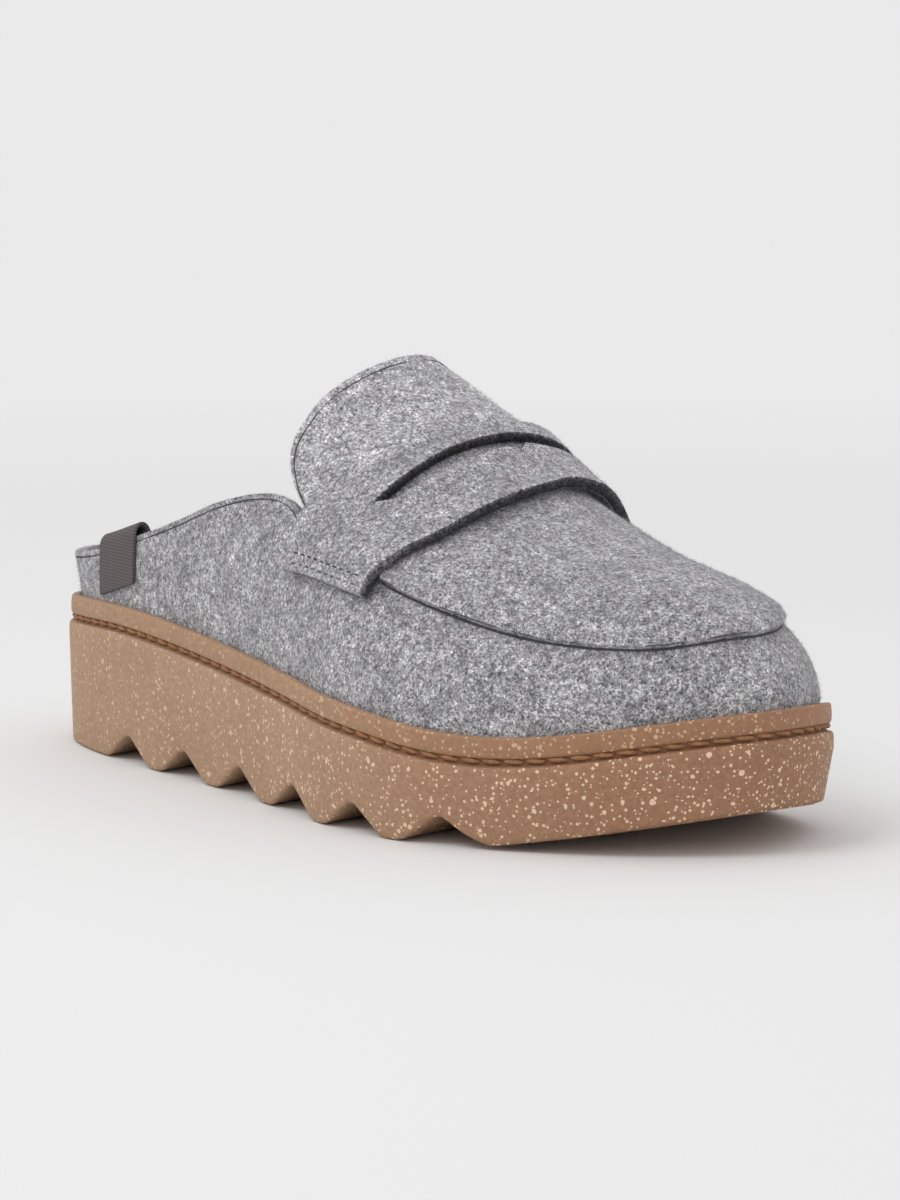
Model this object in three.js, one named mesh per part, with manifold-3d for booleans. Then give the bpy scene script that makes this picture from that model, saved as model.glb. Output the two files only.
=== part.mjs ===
// A felt penny mule on a notched platform sole, the right shoe.
// Millimetres, +X to the toe, +Y to the medial side, +Z up, the sole standing on Z = 0.
import * as THREE from 'three';
import { mergeVertices } from 'three/addons/utils/BufferGeometryUtils.js';
import Module from 'manifold-3d';

const wasm = await Module();
wasm.setup();

// Driving dimensions, in millimetres
const SOLE_LENGTH = 262;       // heel to toe
const SOLE_WIDTH = 102;        // across the ball
const HEEL_HEIGHT = 41;        // floor to rim, at the heel
const INSTEP_HEIGHT = 86.5;    // floor to the vamp's ridge, at the throat
const FIT = 0.3;               // clearance between pieces that meet

// Sole
const RIM_WALL = 2.4;          // rubber outside the felt
const RIM_BAND = 4.8;          // smooth band above the stitching groove
const RIM_ROUND = 0.8;         // rounding of the rim's top edge
const GROOVE_HEIGHT = 2.4;
const GROOVE_DEPTH = 1.1;
const GROOVE_SLOPE = 0.5;      // height of its sloped lips
const SIDE_BULGE = 0.7;        // how far the side stands proud of the rim
const SIDE_LIP = 0.4;          // the same, at the groove's lower lip
const SIDE_FULL = 4;           // below the groove, where the side is at its fullest
const EDGE_BREAK = 1.2;        // broken edge where side and bottom meet
const POCKET_DEPTH = 9;        // rim down to the floor the felt stands on
const TOE_SPRING = 11;         // lift of the bottom at the tip
const SPRING_FROM = 0.79;      // station where the bottom begins to rise
const SPRING_POWER = 1.25;     // how gently it begins
const TOE_UNDERCUT = 1.6;      // how far the side leans in at the toe
const UNDERCUT_FROM = 0.6;     // station where that lean begins
const HEEL_CORNER = 4;         // radius at the back of the bottom

// Notches across the bottom
const NOTCH_COUNT = 6;
const NOTCH_HEIGHT = 7.6;      // where its walls would meet
const NOTCH_WIDTH = 22.5;      // at the bottom, between its walls
const NOTCH_PITCH = 29;
const NOTCH_FIRST = 47.5;      // from the heel's back to the first notch
const NOTCH_SLANT = 0.17;      // set back toward the medial side, per millimetre across
const NOTCH_TIP = 8;           // radius at the top of a notch
const TOOTH_ROUND = 5;         // radius of the teeth's corners
const FRONT_ROUND = 18;        // radius in front of the last notch

// Felt
const FELT = 3.0;              // the upper's wall, outer felt and lining
const APRON_FELT = 2.4;
const TONGUE_FELT = 3.2;
const STRAP_FELT = 3.0;
const FOOTBED_THICKNESS = 5;
const HEEL_CUP = 2.5;          // rise of the footbed's edge at the heel
const FOOTBED_HEEL = 0.13;     // centres of its rounded ends, as stations
const FOOTBED_TOE = 0.85;
const FOOTBED_RINGS = [0.85, 0.6, 0.3];
const HEEL_FLARE = 2.5;        // the back's outward lean at the collar
const FLARE_END = 0.16;        // station where that lean has faded out
const COLLAR_BACK = 13;        // collar above the rim at the heel
const STRAP_LIFT = 1.4;        // arch of the strap's front edge over the apron
const STRAP_LOW = 0.28;        // arc below which the strap lies straight on the upper
const STRAP_HIGH = 0.40;       // arc above which it clears apron and tongue
const STRAP_ARCH = 0.80;       // arc above which its front edge is fully lifted
const STRAP_TILT = 0.075;      // rise of the strap's end edges from rear to front, in arc

// Label
const LABEL_FROM = 34;         // from the heel's back
const LABEL_WIDTH = 20;
const LABEL_RIBBON = 0.9;
const LABEL_STAND = 2.6;       // its fold stands above the collar
const LABEL_DROP = 12.5;       // outside, below the collar
const LABEL_INSIDE = 7;        // inside, below the collar

// Mesh fineness
const HALF_STATIONS = 40;
const ARC_ROWS = 12;
const DENSE_FROM = 0.36;       // stations between which the sections lie twice as close
const DENSE_TO = 0.64;
const TURN_STEP = 0.01;        // steps to either side when a slope is measured
const ARC_STEP = 0.01;
const STATION_STEP = 0.005;

// Outline of the rim: station and half widths, as shares of the sole's length and width
const OUTLINE = [
  { at: 0.00, lateral: 0.000, medial: 0.000 },
  { at: 0.03, lateral: 0.186, medial: 0.187 },
  { at: 0.11, lateral: 0.284, medial: 0.305 },
  { at: 0.23, lateral: 0.343, medial: 0.324 },
  { at: 0.38, lateral: 0.392, medial: 0.328 },
  { at: 0.52, lateral: 0.461, medial: 0.372 },
  { at: 0.63, lateral: 0.520, medial: 0.440 },
  { at: 0.74, lateral: 0.510, medial: 0.476 },
  { at: 0.84, lateral: 0.405, medial: 0.458 },
  { at: 0.92, lateral: 0.275, medial: 0.395 },
  { at: 0.97, lateral: 0.140, medial: 0.265 },
  { at: 1.00, lateral: -0.04, medial: 0.040 },
];

// Height of the rim's top, as shares of the sole's length and the heel's height
const RIM = [
  { at: 0.00, height: 0.955 },
  { at: 0.19, height: 1.000 },
  { at: 0.42, height: 0.890 },
  { at: 0.65, height: 0.744 },
  { at: 0.82, height: 0.660 },
  { at: 1.00, height: 0.845 },
];

// The last's ridge: shares of the sole's length, the instep's height and the sole's width
const RIDGE = [
  { at: 0.17, height: 1.90, side: 0.00 },
  { at: 0.38, height: 1.42, side: 0.05 },
  { at: 0.46, height: 1.228, side: 0.09 },
  { at: 0.50, height: 1.155, side: 0.11 },
  { at: 0.54, height: 1.095, side: 0.12 },
  { at: 0.57, height: 1.045, side: 0.12 },
  { at: 0.61, height: 0.975, side: 0.11 },
  { at: 0.65, height: 0.903, side: 0.09 },
  { at: 0.71, height: 0.826, side: 0.07 },
  { at: 0.76, height: 0.770, side: 0.06 },
  { at: 0.82, height: 0.728, side: 0.04 },
];
const MEDIAL_SHOULDER = 0.22;  // how much squarer the medial side is under tongue and strap
const SHOULDER_FROM = 0.40;    // stations where that begins and ends
const SHOULDER_TO = 0.64;
const SHOULDER_BLEND = 0.1;    // stations over which it comes and goes
const FAN_HEEL = 0.17;         // ridge station that the heel's sections fan out from
const FAN_TOE = 0.82;          // ridge station that the toe's sections fan out from
const STRAIGHT_FROM = 0.38;    // sections lie square to the foot between these stations
const STRAIGHT_TO = 0.57;

// Collar height above the floor, as shares of the sole's length and the instep's height
const COLLAR = [
  { at: 0.000, lateral: 0.590, medial: 0.590 },
  { at: 0.040, lateral: 0.592, medial: 0.592 },
  { at: 0.115, lateral: 0.624, medial: 0.630 },
  { at: 0.205, lateral: 0.692, medial: 0.700 },
  { at: 0.280, lateral: 0.758, medial: 0.772 },
  { at: 0.365, lateral: 0.844, medial: 0.856 },
  { at: 0.430, lateral: 0.880, medial: 0.890 },
  { at: 0.460, lateral: 0.872, medial: 0.878 },
  { at: 0.480, lateral: 0.845, medial: 0.850 },
  { at: 0.500, lateral: 0.790, medial: 0.795 },
  { at: 0.520, lateral: 0.735, medial: 0.730 },
  { at: 0.615, lateral: 0.660, medial: 0.650 },
];
const THROAT_FRONT = 0.615;    // where the collar's edges turn in under the strap
const THROAT_END = 0.635;      // where the vamp closes over the ridge
const APRON_REAR = 0.643;      // where the apron begins, under the strap
const TONGUE_FRONT = 0.607;    // where the tongue ends, under the strap

// Edge of the apron: how far up the section it lies, by perimeter station
const APRON_EDGE = [
  { at: 0.635, lateral: 0.390, medial: 0.365 },
  { at: 0.700, lateral: 0.405, medial: 0.400 },
  { at: 0.770, lateral: 0.410, medial: 0.435 },
  { at: 0.845, lateral: 0.390, medial: 0.450 },
  { at: 0.900, lateral: 0.372, medial: 0.448 },
  { at: 0.950, lateral: 0.362, medial: 0.432 },
  { at: 1.000, lateral: 0.395, medial: 0.395 },
];

// Strap, from the lateral end over the ridge to the medial end: rear and front edges
const STRAP = [
  { across: 0.00, arc: 0.28, rear: 0.506, front: 0.636 },
  { across: 0.08, arc: 0.36, rear: 0.504, front: 0.645 },
  { across: 0.16, arc: 0.46, rear: 0.518, front: 0.661 },
  { across: 0.26, arc: 0.60, rear: 0.552, front: 0.682 },
  { across: 0.38, arc: 0.80, rear: 0.569, front: 0.690 },
  { across: 0.50, arc: 1.00, rear: 0.578, front: 0.684 },
  { across: 0.62, arc: 0.80, rear: 0.572, front: 0.672 },
  { across: 0.74, arc: 0.60, rear: 0.552, front: 0.657 },
  { across: 0.84, arc: 0.46, rear: 0.518, front: 0.650 },
  { across: 0.92, arc: 0.36, rear: 0.504, front: 0.640 },
  { across: 1.00, arc: 0.28, rear: 0.506, front: 0.632 },
];

// Slot through the strap, with a small notch near the middle of its front edge
const SLOT = [
  { across: 0.215, rear: 0.589, front: 0.591 },
  { across: 0.245, rear: 0.591, front: 0.608 },
  { across: 0.310, rear: 0.592, front: 0.613 },
  { across: 0.380, rear: 0.592, front: 0.615 },
  { across: 0.440, rear: 0.594, front: 0.614 },
  { across: 0.460, rear: 0.595, front: 0.622 },
  { across: 0.480, rear: 0.596, front: 0.613 },
  { across: 0.560, rear: 0.598, front: 0.616 },
  { across: 0.640, rear: 0.596, front: 0.614 },
  { across: 0.720, rear: 0.590, front: 0.605 },
  { across: 0.750, rear: 0.586, front: 0.588 },
];

// Tongue's outline, from its lateral corner over the ridge to its medial corner
const TONGUE = [
  { across: -1.00, arc: 0.355, rear: 0.530 },
  { across: -0.95, arc: 0.385, rear: 0.503 },
  { across: -0.88, arc: 0.425, rear: 0.473 },
  { across: -0.80, arc: 0.475, rear: 0.450 },
  { across: -0.65, arc: 0.590, rear: 0.445 },
  { across: -0.35, arc: 0.800, rear: 0.452 },
  { across: 0.00, arc: 1.000, rear: 0.455 },
  { across: 0.35, arc: 0.800, rear: 0.452 },
  { across: 0.65, arc: 0.590, rear: 0.444 },
  { across: 0.80, arc: 0.475, rear: 0.450 },
  { across: 0.88, arc: 0.425, rear: 0.468 },
  { across: 0.95, arc: 0.385, rear: 0.495 },
  { across: 1.00, arc: 0.355, rear: 0.525 },
];
const TONGUE_OUT = 0.43;       // above this arc the tongue lies over the last
const TONGUE_IN = 0.33;        // below this arc it would lie inside the upper

const HALF_TURN = Math.PI;
const clamp = THREE.MathUtils.clamp;
const smooth = (value, low, high) => THREE.MathUtils.smoothstep(value, low, high);

// Smooth curve through one column of a table
function column(table, key, name) {
  const keys = table.map((row) => row[key]);
  const values = table.map((row) => row[name]);
  const curve = new THREE.CubicInterpolant(keys, values, 1, new Float32Array(1));
  return (where) => curve.evaluate(clamp(where, keys[0], keys[keys.length - 1]))[0];
}

// The outline is a closed curve of a turn angle: heel at 0, lateral side, toe at half a turn, medial side
const turnOf = (at) => Math.acos(clamp(1 - 2 * at, -1, 1));
const stationOf = (turn) => (1 - Math.cos(turn)) / 2;

function closedOutline() {
  const lateral = OUTLINE.map((row) => ({ turn: turnOf(row.at), width: -row.lateral }));
  const medial = OUTLINE.map((row) => ({ turn: 2 * HALF_TURN - turnOf(row.at), width: row.medial }));
  const loop = lateral.concat(medial.slice(1, -1).reverse());
  const before = loop.slice(-3).map((row) => ({ turn: row.turn - 2 * HALF_TURN, width: row.width }));
  const after = loop.slice(0, 3).map((row) => ({ turn: row.turn + 2 * HALF_TURN, width: row.width }));
  return column(before.concat(loop, after), 'turn', 'width');
}

const outlineShare = closedOutline();
const rimShare = column(RIM, 'at', 'height');
const ridgeHeight = column(RIDGE, 'at', 'height');
const ridgeSide = column(RIDGE, 'at', 'side');
const collarLateral = column(COLLAR, 'at', 'lateral');
const collarMedial = column(COLLAR, 'at', 'medial');
const apronLateral = column(APRON_EDGE, 'at', 'lateral');
const apronMedial = column(APRON_EDGE, 'at', 'medial');

const isLateral = (turn) => turn < HALF_TURN;
const isBack = (turn) => stationOf(turn) < STRAIGHT_FROM;
const rimHeight = (x) => HEEL_HEIGHT * rimShare(x / SOLE_LENGTH);

function outlinePoint(turn) {
  return new THREE.Vector2(SOLE_LENGTH * stationOf(turn), SOLE_WIDTH * outlineShare(turn));
}

// A point of the outline moved inward, square to the outline
function outlineInset(turn, inset) {
  const wrapped = (value) => (value + 2 * HALF_TURN) % (2 * HALF_TURN);
  const ahead = outlinePoint(wrapped(turn + TURN_STEP));
  const behind = outlinePoint(wrapped(turn - TURN_STEP));
  const along = ahead.sub(behind).normalize();
  const point = outlinePoint(wrapped(turn));
  return point.add(new THREE.Vector2(-along.y, along.x).multiplyScalar(inset));
}

// Bottom of the sole: flat, rounded up at the heel, sprung at the toe
function bottomHeight(x) {
  const springFrom = SPRING_FROM * SOLE_LENGTH;
  if (x > springFrom) {
    return TOE_SPRING * ((x - springFrom) / (SOLE_LENGTH - springFrom)) ** SPRING_POWER;
  }
  if (x < HEEL_CORNER) {
    return HEEL_CORNER - Math.sqrt(HEEL_CORNER ** 2 - (HEEL_CORNER - Math.max(x, 0)) ** 2);
  }
  return 0;
}

// Ridge station for a perimeter station: equal in the middle, fanned out at heel and toe
function ridgeStation(at) {
  const quarter = HALF_TURN / 2;
  if (at < STRAIGHT_FROM) {
    const share = (STRAIGHT_FROM - at) / STRAIGHT_FROM;
    return STRAIGHT_FROM - (STRAIGHT_FROM - FAN_HEEL) * Math.sin(quarter * share);
  }
  if (at > STRAIGHT_TO) {
    const share = (at - STRAIGHT_TO) / (1 - STRAIGHT_TO);
    return STRAIGHT_TO + (FAN_TOE - STRAIGHT_TO) * Math.sin(quarter * share);
  }
  return at;
}

function ridgePoint(turn) {
  const at = ridgeStation(stationOf(turn));
  return new THREE.Vector3(SOLE_LENGTH * at, SOLE_WIDTH * ridgeSide(at), INSTEP_HEIGHT * ridgeHeight(at));
}

function ridgeSlope(turn) {
  const at = ridgeStation(stationOf(turn));
  const rise = ridgeHeight(at + STATION_STEP) - ridgeHeight(at - STATION_STEP);
  return (INSTEP_HEIGHT * rise) / (2 * STATION_STEP * SOLE_LENGTH);
}

// Power of a section's curve: 1 is an ellipse, less is squarer in the shoulder
function sectionPower(turn) {
  const at = stationOf(turn);
  const rise = smooth(at, SHOULDER_FROM, SHOULDER_FROM + SHOULDER_BLEND);
  const under = rise * (1 - smooth(at, SHOULDER_TO - SHOULDER_BLEND, SHOULDER_TO));
  return isLateral(turn) ? 1 : 1 - MEDIAL_SHOULDER * under;
}

// The last: arc 0 is the rim, arc 1 the ridge, and a negative arc is a depth below the rim
function lastPoint(turn, arc) {
  const foot = outlineInset(turn, RIM_WALL + FIT);
  const rim = rimHeight(foot.x);
  if (arc <= 0) {
    return new THREE.Vector3(foot.x, foot.y, rim + arc);
  }
  const ridge = ridgePoint(turn);
  const angle = (arc * HALF_TURN) / 2;
  const power = sectionPower(turn);
  const reach = Math.max(Math.cos(angle), 0) ** power;
  const x = ridge.x + (foot.x - ridge.x) * reach;
  const y = ridge.y + (foot.y - ridge.y) * reach;
  const lean = ridgeSlope(turn) * (foot.x - ridge.x) * reach * (1 - reach) ** 2;
  const z = rim + (ridge.z - rim) * Math.sin(angle) ** power + (isBack(turn) ? 0 : lean);
  const back = 1 - smooth(foot.x, 0, FLARE_END * SOLE_LENGTH);
  const flare = HEEL_FLARE * back * Math.min((z - rim) / COLLAR_BACK, 1.5);
  const out = outlineInset(turn, -1).sub(outlineInset(turn, 0));
  return new THREE.Vector3(x + out.x * flare, y + out.y * flare, z);
}

function lastNormal(turn, arc) {
  if (arc >= 1) {
    return new THREE.Vector3(-ridgeSlope(turn), 0, 1).normalize();
  }
  const around = lastPoint(turn + TURN_STEP, arc).sub(lastPoint(turn - TURN_STEP, arc));
  const low = arc <= 0 ? -1 : Math.max(arc - ARC_STEP, 0);
  const high = arc <= 0 ? 0 : Math.min(arc + ARC_STEP, 1);
  const upward = lastPoint(turn, high).sub(lastPoint(turn, low));
  return around.cross(upward).normalize();
}

function lastOffset(turn, arc, out) {
  return lastPoint(turn, arc).addScaledVector(lastNormal(turn, arc), out);
}

// The arc at which a section reaches a height
function arcAtHeight(turn, height) {
  const rim = rimHeight(outlineInset(turn, RIM_WALL + FIT).x);
  const share = clamp((height - rim) / (ridgePoint(turn).z - rim), 0.01, 0.99);
  return (2 / HALF_TURN) * Math.asin(share ** (1 / sectionPower(turn)));
}

// The turn at which one side of the outline reaches a station
const turnAt = (at, lateral) => (lateral ? turnOf(at) : 2 * HALF_TURN - turnOf(at));

// Faces are gathered as loose triangles and welded at the end
class Skin {
  constructor() {
    this.corners = [];
  }

  triangle(a, b, c) {
    this.corners.push(...a.toArray(), ...b.toArray(), ...c.toArray());
  }

  quad(a, b, c, d) {
    this.triangle(a, b, c);
    this.triangle(a, c, d);
  }

  geometry() {
    const loose = new THREE.BufferGeometry();
    loose.setAttribute('position', new THREE.Float32BufferAttribute(this.corners, 3));
    const welded = mergeVertices(loose, 1e-3);
    const index = welded.getIndex().array;
    const kept = [];
    for (let i = 0; i < index.length; i += 3) {
      const [a, b, c] = [index[i], index[i + 1], index[i + 2]];
      if (a !== b && b !== c && c !== a) {
        kept.push(a, b, c);
      }
    }
    welded.setIndex(kept);
    return welded;
  }
}

// A sheet with a thickness: outer and inner are grids of points, rows running up each section
function sheet(outer, inner, { ring = false, closedTop = () => false } = {}) {
  const skin = new Skin();
  const columns = outer.length;
  const top = outer[0].length - 1;
  const spans = ring ? columns : columns - 1;
  for (let i = 0; i < spans; i += 1) {
    const next = (i + 1) % columns;
    for (let j = 0; j < top; j += 1) {
      skin.quad(outer[i][j], outer[next][j], outer[next][j + 1], outer[i][j + 1]);
      skin.quad(inner[i][j + 1], inner[next][j + 1], inner[next][j], inner[i][j]);
    }
    skin.quad(inner[i][0], inner[next][0], outer[next][0], outer[i][0]);
    if (!(closedTop(i) && closedTop(next))) {
      skin.quad(outer[i][top], outer[next][top], inner[next][top], inner[i][top]);
    }
  }
  if (!ring) {
    const last = columns - 1;
    for (let j = 0; j < top; j += 1) {
      skin.quad(inner[0][j], outer[0][j], outer[0][j + 1], inner[0][j + 1]);
      skin.quad(outer[last][j], inner[last][j], inner[last][j + 1], outer[last][j + 1]);
    }
  }
  return skin.geometry();
}

// A body with rings of points from its bottom to its top, closed across by strips
function ringBody(rings) {
  const skin = new Skin();
  const count = rings[0].length;
  const cap = (ring, up) => {
    for (let i = 0; i < count / 2; i += 1) {
      const near = ring[i];
      const nearNext = ring[i + 1];
      const far = ring[(count - i) % count];
      const farNext = ring[count - i - 1];
      if (up) {
        skin.quad(near, nearNext, farNext, far);
      } else {
        skin.quad(far, farNext, nearNext, near);
      }
    }
  };
  for (let j = 0; j < rings.length - 1; j += 1) {
    for (let i = 0; i < count; i += 1) {
      const next = (i + 1) % count;
      skin.quad(rings[j][i], rings[j][next], rings[j + 1][next], rings[j + 1][i]);
    }
  }
  cap(rings[0], false);
  cap(rings[rings.length - 1], true);
  return skin.geometry();
}

function toSolid(geometry) {
  const bare = geometry.clone();
  bare.deleteAttribute('normal');
  bare.deleteAttribute('uv');
  const welded = mergeVertices(bare, 1e-4);
  const vertProperties = new Float32Array(welded.getAttribute('position').array);
  const triVerts = new Uint32Array(welded.getIndex().array);
  return new wasm.Manifold(new wasm.Mesh({ numProp: 3, vertProperties, triVerts }));
}

function toGeometry(solid) {
  const { vertProperties, triVerts } = solid.getMesh();
  const geometry = new THREE.BufferGeometry();
  geometry.setAttribute('position', new THREE.Float32BufferAttribute(vertProperties, 3));
  geometry.setIndex(Array.from(triVerts));
  return geometry;
}

// Turns of the sections: even round the outline, closer at the instep, and at each named station
function sectionTurns() {
  const step = HALF_TURN / HALF_STATIONS;
  const named = [THROAT_FRONT, THROAT_END, APRON_REAR].map(turnOf);
  const even = Array.from({ length: 2 * HALF_STATIONS + 1 }, (_, k) => (k * step) / 2);
  const dense = (turn) => stationOf(turn) > DENSE_FROM && stationOf(turn) < DENSE_TO;
  const clear = (turn) => named.every((fixed) => Math.abs(turn - fixed) > step / 4);
  const kept = even.filter((turn, k) => clear(turn) && (k % 2 === 0 || dense(turn)));
  const half = kept.concat(named).sort((a, b) => a - b);
  const back = half.slice(1, -1).map((turn) => 2 * HALF_TURN - turn).reverse();
  return half.concat(back);
}

const TURNS = sectionTurns();

function soleRing(depthFromRim, out) {
  return TURNS.map((turn) => {
    const point = outlineInset(turn, -out);
    return new THREE.Vector3(point.x, point.y, rimHeight(point.x) - depthFromRim);
  });
}

function soleBottomRing(lift, inset) {
  return TURNS.map((turn) => {
    const undercut = TOE_UNDERCUT * smooth(stationOf(turn), UNDERCUT_FROM, 1);
    const point = outlineInset(turn, inset + undercut);
    return new THREE.Vector3(point.x, point.y, bottomHeight(outlinePoint(turn).x) + lift);
  });
}

// One notch seen from the side: a rounded peak with sloped walls and rounded mouth corners
function notchProfile(width, frontRound) {
  const half = width / 2;
  const slope = Math.atan2(NOTCH_HEIGHT, half);
  const shape = new THREE.Shape();
  const mouth = TOOTH_ROUND * Math.tan(slope / 2);
  const front = frontRound * Math.tan(slope / 2);
  const tip = NOTCH_TIP * Math.tan(slope / 2);
  const below = -NOTCH_HEIGHT;
  const onWall = (run) => [-half + run * Math.cos(slope), run * Math.sin(slope)];
  const wall = half / Math.cos(slope);
  shape.moveTo(-half - mouth, below);
  shape.lineTo(-half - mouth, 0);
  shape.quadraticCurveTo(-half, 0, ...onWall(mouth));
  shape.lineTo(...onWall(wall - tip));
  const [left, up] = onWall(wall - tip);
  shape.quadraticCurveTo(0, NOTCH_HEIGHT, -left, up);
  const [frontFoot, footUp] = onWall(front);
  shape.lineTo(-frontFoot, footUp);
  shape.quadraticCurveTo(half, 0, half + front, 0);
  shape.lineTo(half + front, below);
  return shape;
}

function notch(index) {
  const centre = NOTCH_FIRST + NOTCH_PITCH * index;
  const span = 2 * SOLE_WIDTH;
  const frontRound = index === NOTCH_COUNT - 1 ? FRONT_ROUND : TOOTH_ROUND;
  const options = { depth: span, bevelEnabled: false, curveSegments: 4 };
  const cutter = new THREE.ExtrudeGeometry(notchProfile(NOTCH_WIDTH, frontRound), options);
  cutter.translate(0, 0, -span / 2);
  cutter.rotateX(HALF_TURN / 2);
  const position = cutter.getAttribute('position');
  for (let i = 0; i < position.count; i += 1) {
    position.setX(i, position.getX(i) + centre - NOTCH_SLANT * position.getY(i));
  }
  return toSolid(cutter);
}

function makeSole() {
  const grooveEnd = RIM_BAND + GROOVE_HEIGHT;
  const body = ringBody([
    soleBottomRing(0, EDGE_BREAK),
    soleBottomRing(EDGE_BREAK, 0),
    soleRing(grooveEnd + SIDE_FULL, SIDE_BULGE),
    soleRing(grooveEnd, SIDE_LIP),
    soleRing(grooveEnd - GROOVE_SLOPE, -GROOVE_DEPTH),
    soleRing(RIM_BAND + GROOVE_SLOPE, -GROOVE_DEPTH),
    soleRing(RIM_BAND, 0),
    soleRing(RIM_ROUND, 0),
    soleRing(0, -RIM_ROUND),
  ]);
  const pocket = ringBody([soleRing(POCKET_DEPTH, -RIM_WALL), soleRing(-HEEL_HEIGHT, -RIM_WALL)]);
  let solid = toSolid(body).subtract(toSolid(pocket));
  for (let i = 0; i < NOTCH_COUNT; i += 1) {
    solid = solid.subtract(notch(i));
  }
  return toGeometry(solid);
}

// The footbed's rings draw together toward its middle line, and toward its two ends' centres
function makeFootbed() {
  const inset = RIM_WALL + FIT + FELT + FIT;
  const floor = POCKET_DEPTH - FIT;
  const top = floor - FOOTBED_THICKNESS;
  const ring = (share) => TURNS.map((turn) => {
    const edge = outlineInset(turn, inset);
    const opposite = outlineInset(2 * HALF_TURN - turn, inset);
    const middle = (edge.y + opposite.y) / 2;
    const end = clamp(edge.x, FOOTBED_HEEL * SOLE_LENGTH, FOOTBED_TOE * SOLE_LENGTH);
    const x = THREE.MathUtils.lerp(end, edge.x, share);
    const y = THREE.MathUtils.lerp(middle, edge.y, share);
    const cup = HEEL_CUP * (1 - smooth(edge.x, 0, SOLE_LENGTH / 2));
    return new THREE.Vector3(x, y, rimHeight(x) - top + cup * (share * share - 1));
  });
  return ringBody([soleRing(floor, -inset), soleRing(top, -inset), ...FOOTBED_RINGS.map(ring)]);
}

// How far up its section the upper reaches
function upperTop(turn) {
  const at = stationOf(turn);
  const collar = isLateral(turn) ? collarLateral : collarMedial;
  if (at > (THROAT_FRONT + THROAT_END) / 2) {
    return 1;
  }
  return arcAtHeight(turn, INSTEP_HEIGHT * collar(at));
}

const arcRows = () => Array.from({ length: ARC_ROWS + 1 }, (_, j) => j / ARC_ROWS);

function makeUpper() {
  const foot = -(POCKET_DEPTH - FIT);
  const grid = (out) => TURNS.map((turn) => {
    const top = upperTop(turn);
    const rows = [lastOffset(turn, foot, out), lastOffset(turn, 0, out)];
    arcRows().slice(1).forEach((arc) => rows.push(lastOffset(turn, Math.min(arc, top), out)));
    return rows;
  });
  return sheet(grid(0), grid(-FELT), { ring: true, closedTop: (i) => upperTop(TURNS[i]) >= 1 });
}

function makeApron() {
  const rear = turnOf(APRON_REAR);
  const turns = TURNS.filter((turn) => turn >= rear && turn <= 2 * HALF_TURN - rear);
  const lowest = Math.min(...APRON_EDGE.map((row) => Math.min(row.lateral, row.medial)));
  const arcs = arcRows().filter((arc) => arc > lowest - 1 / ARC_ROWS);
  const grid = (out) => turns.map((turn) => {
    const edge = (isLateral(turn) ? apronLateral : apronMedial)(stationOf(turn));
    return arcs.map((arc) => lastOffset(turn, Math.max(arc, edge), out));
  });
  return sheet(grid(FIT + APRON_FELT), grid(FIT), { closedTop: () => true });
}

// Strap: across runs from the lateral end over the ridge to the medial end
const strapArc = column(STRAP, 'across', 'arc');
const strapRear = column(STRAP, 'across', 'rear');
const strapFront = column(STRAP, 'across', 'front');

// Its end edges rise from rear to front, and the tilt fades out toward the ridge
function tiltedArc(across, along) {
  const arc = strapArc(across);
  const atEnd = 1 - smooth(arc, STRAP_HIGH, STRAP_ARCH);
  return Math.min(arc + STRAP_TILT * (along - 0.5) * atEnd, 1);
}

function strapPoint(across, along, out) {
  const at = THREE.MathUtils.lerp(strapRear(across), strapFront(across), along);
  return lastOffset(turnAt(at, across < 0.5), tiltedArc(across, along), out);
}

function strapUnder(across, along) {
  const arc = tiltedArc(across, along);
  const over = smooth(arc, STRAP_LOW, STRAP_HIGH);
  return FIT + (APRON_FELT + FIT) * over + STRAP_LIFT * along * smooth(arc, STRAP_HIGH, STRAP_ARCH);
}

// The slot's outline seen from above, cut straight down through the strap
function slotCutter() {
  const edge = (name) => SLOT.map((row) => {
    const arc = Math.min(strapArc(row.across), 1);
    const out = strapUnder(row.across, 0.5) + STRAP_FELT / 2;
    const point = lastOffset(turnAt(row[name], row.across < 0.5), arc, out);
    return new THREE.Vector2(point.x, point.y);
  });
  const shape = new THREE.Shape(edge('rear').concat(edge('front').reverse()));
  const cutter = new THREE.ExtrudeGeometry(shape, { depth: 2 * INSTEP_HEIGHT, bevelEnabled: false });
  return toSolid(cutter);
}

function makeStrap() {
  const acrossSteps = 32;
  const alongSteps = 6;
  const grid = (thickness) => Array.from({ length: alongSteps + 1 }, (_, i) => {
    const along = i / alongSteps;
    return Array.from({ length: acrossSteps + 1 }, (__, j) => {
      const across = j / acrossSteps;
      return strapPoint(across, along, strapUnder(across, along) + thickness);
    });
  });
  return toGeometry(toSolid(sheet(grid(STRAP_FELT), grid(0))).subtract(slotCutter()));
}

const tongueArc = column(TONGUE, 'across', 'arc');
const tongueRear = column(TONGUE, 'across', 'rear');

function makeTongue() {
  const acrossSteps = 24;
  const alongSteps = 6;
  const grid = (thickness) => Array.from({ length: alongSteps + 1 }, (_, i) => {
    const along = i / alongSteps;
    return Array.from({ length: acrossSteps + 1 }, (__, j) => {
      const side = (2 * j) / acrossSteps - 1;
      const at = THREE.MathUtils.lerp(tongueRear(side), TONGUE_FRONT, along);
      const arc = Math.min(tongueArc(side), 1);
      const over = smooth(arc, TONGUE_IN, TONGUE_OUT);
      const inside = -(FELT + FIT + TONGUE_FELT);
      const out = THREE.MathUtils.lerp(inside, FIT + APRON_FELT - TONGUE_FELT, over);
      return lastOffset(turnAt(at, side < 0), arc, out + thickness);
    });
  });
  return sheet(grid(TONGUE_FELT), grid(0));
}

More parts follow.
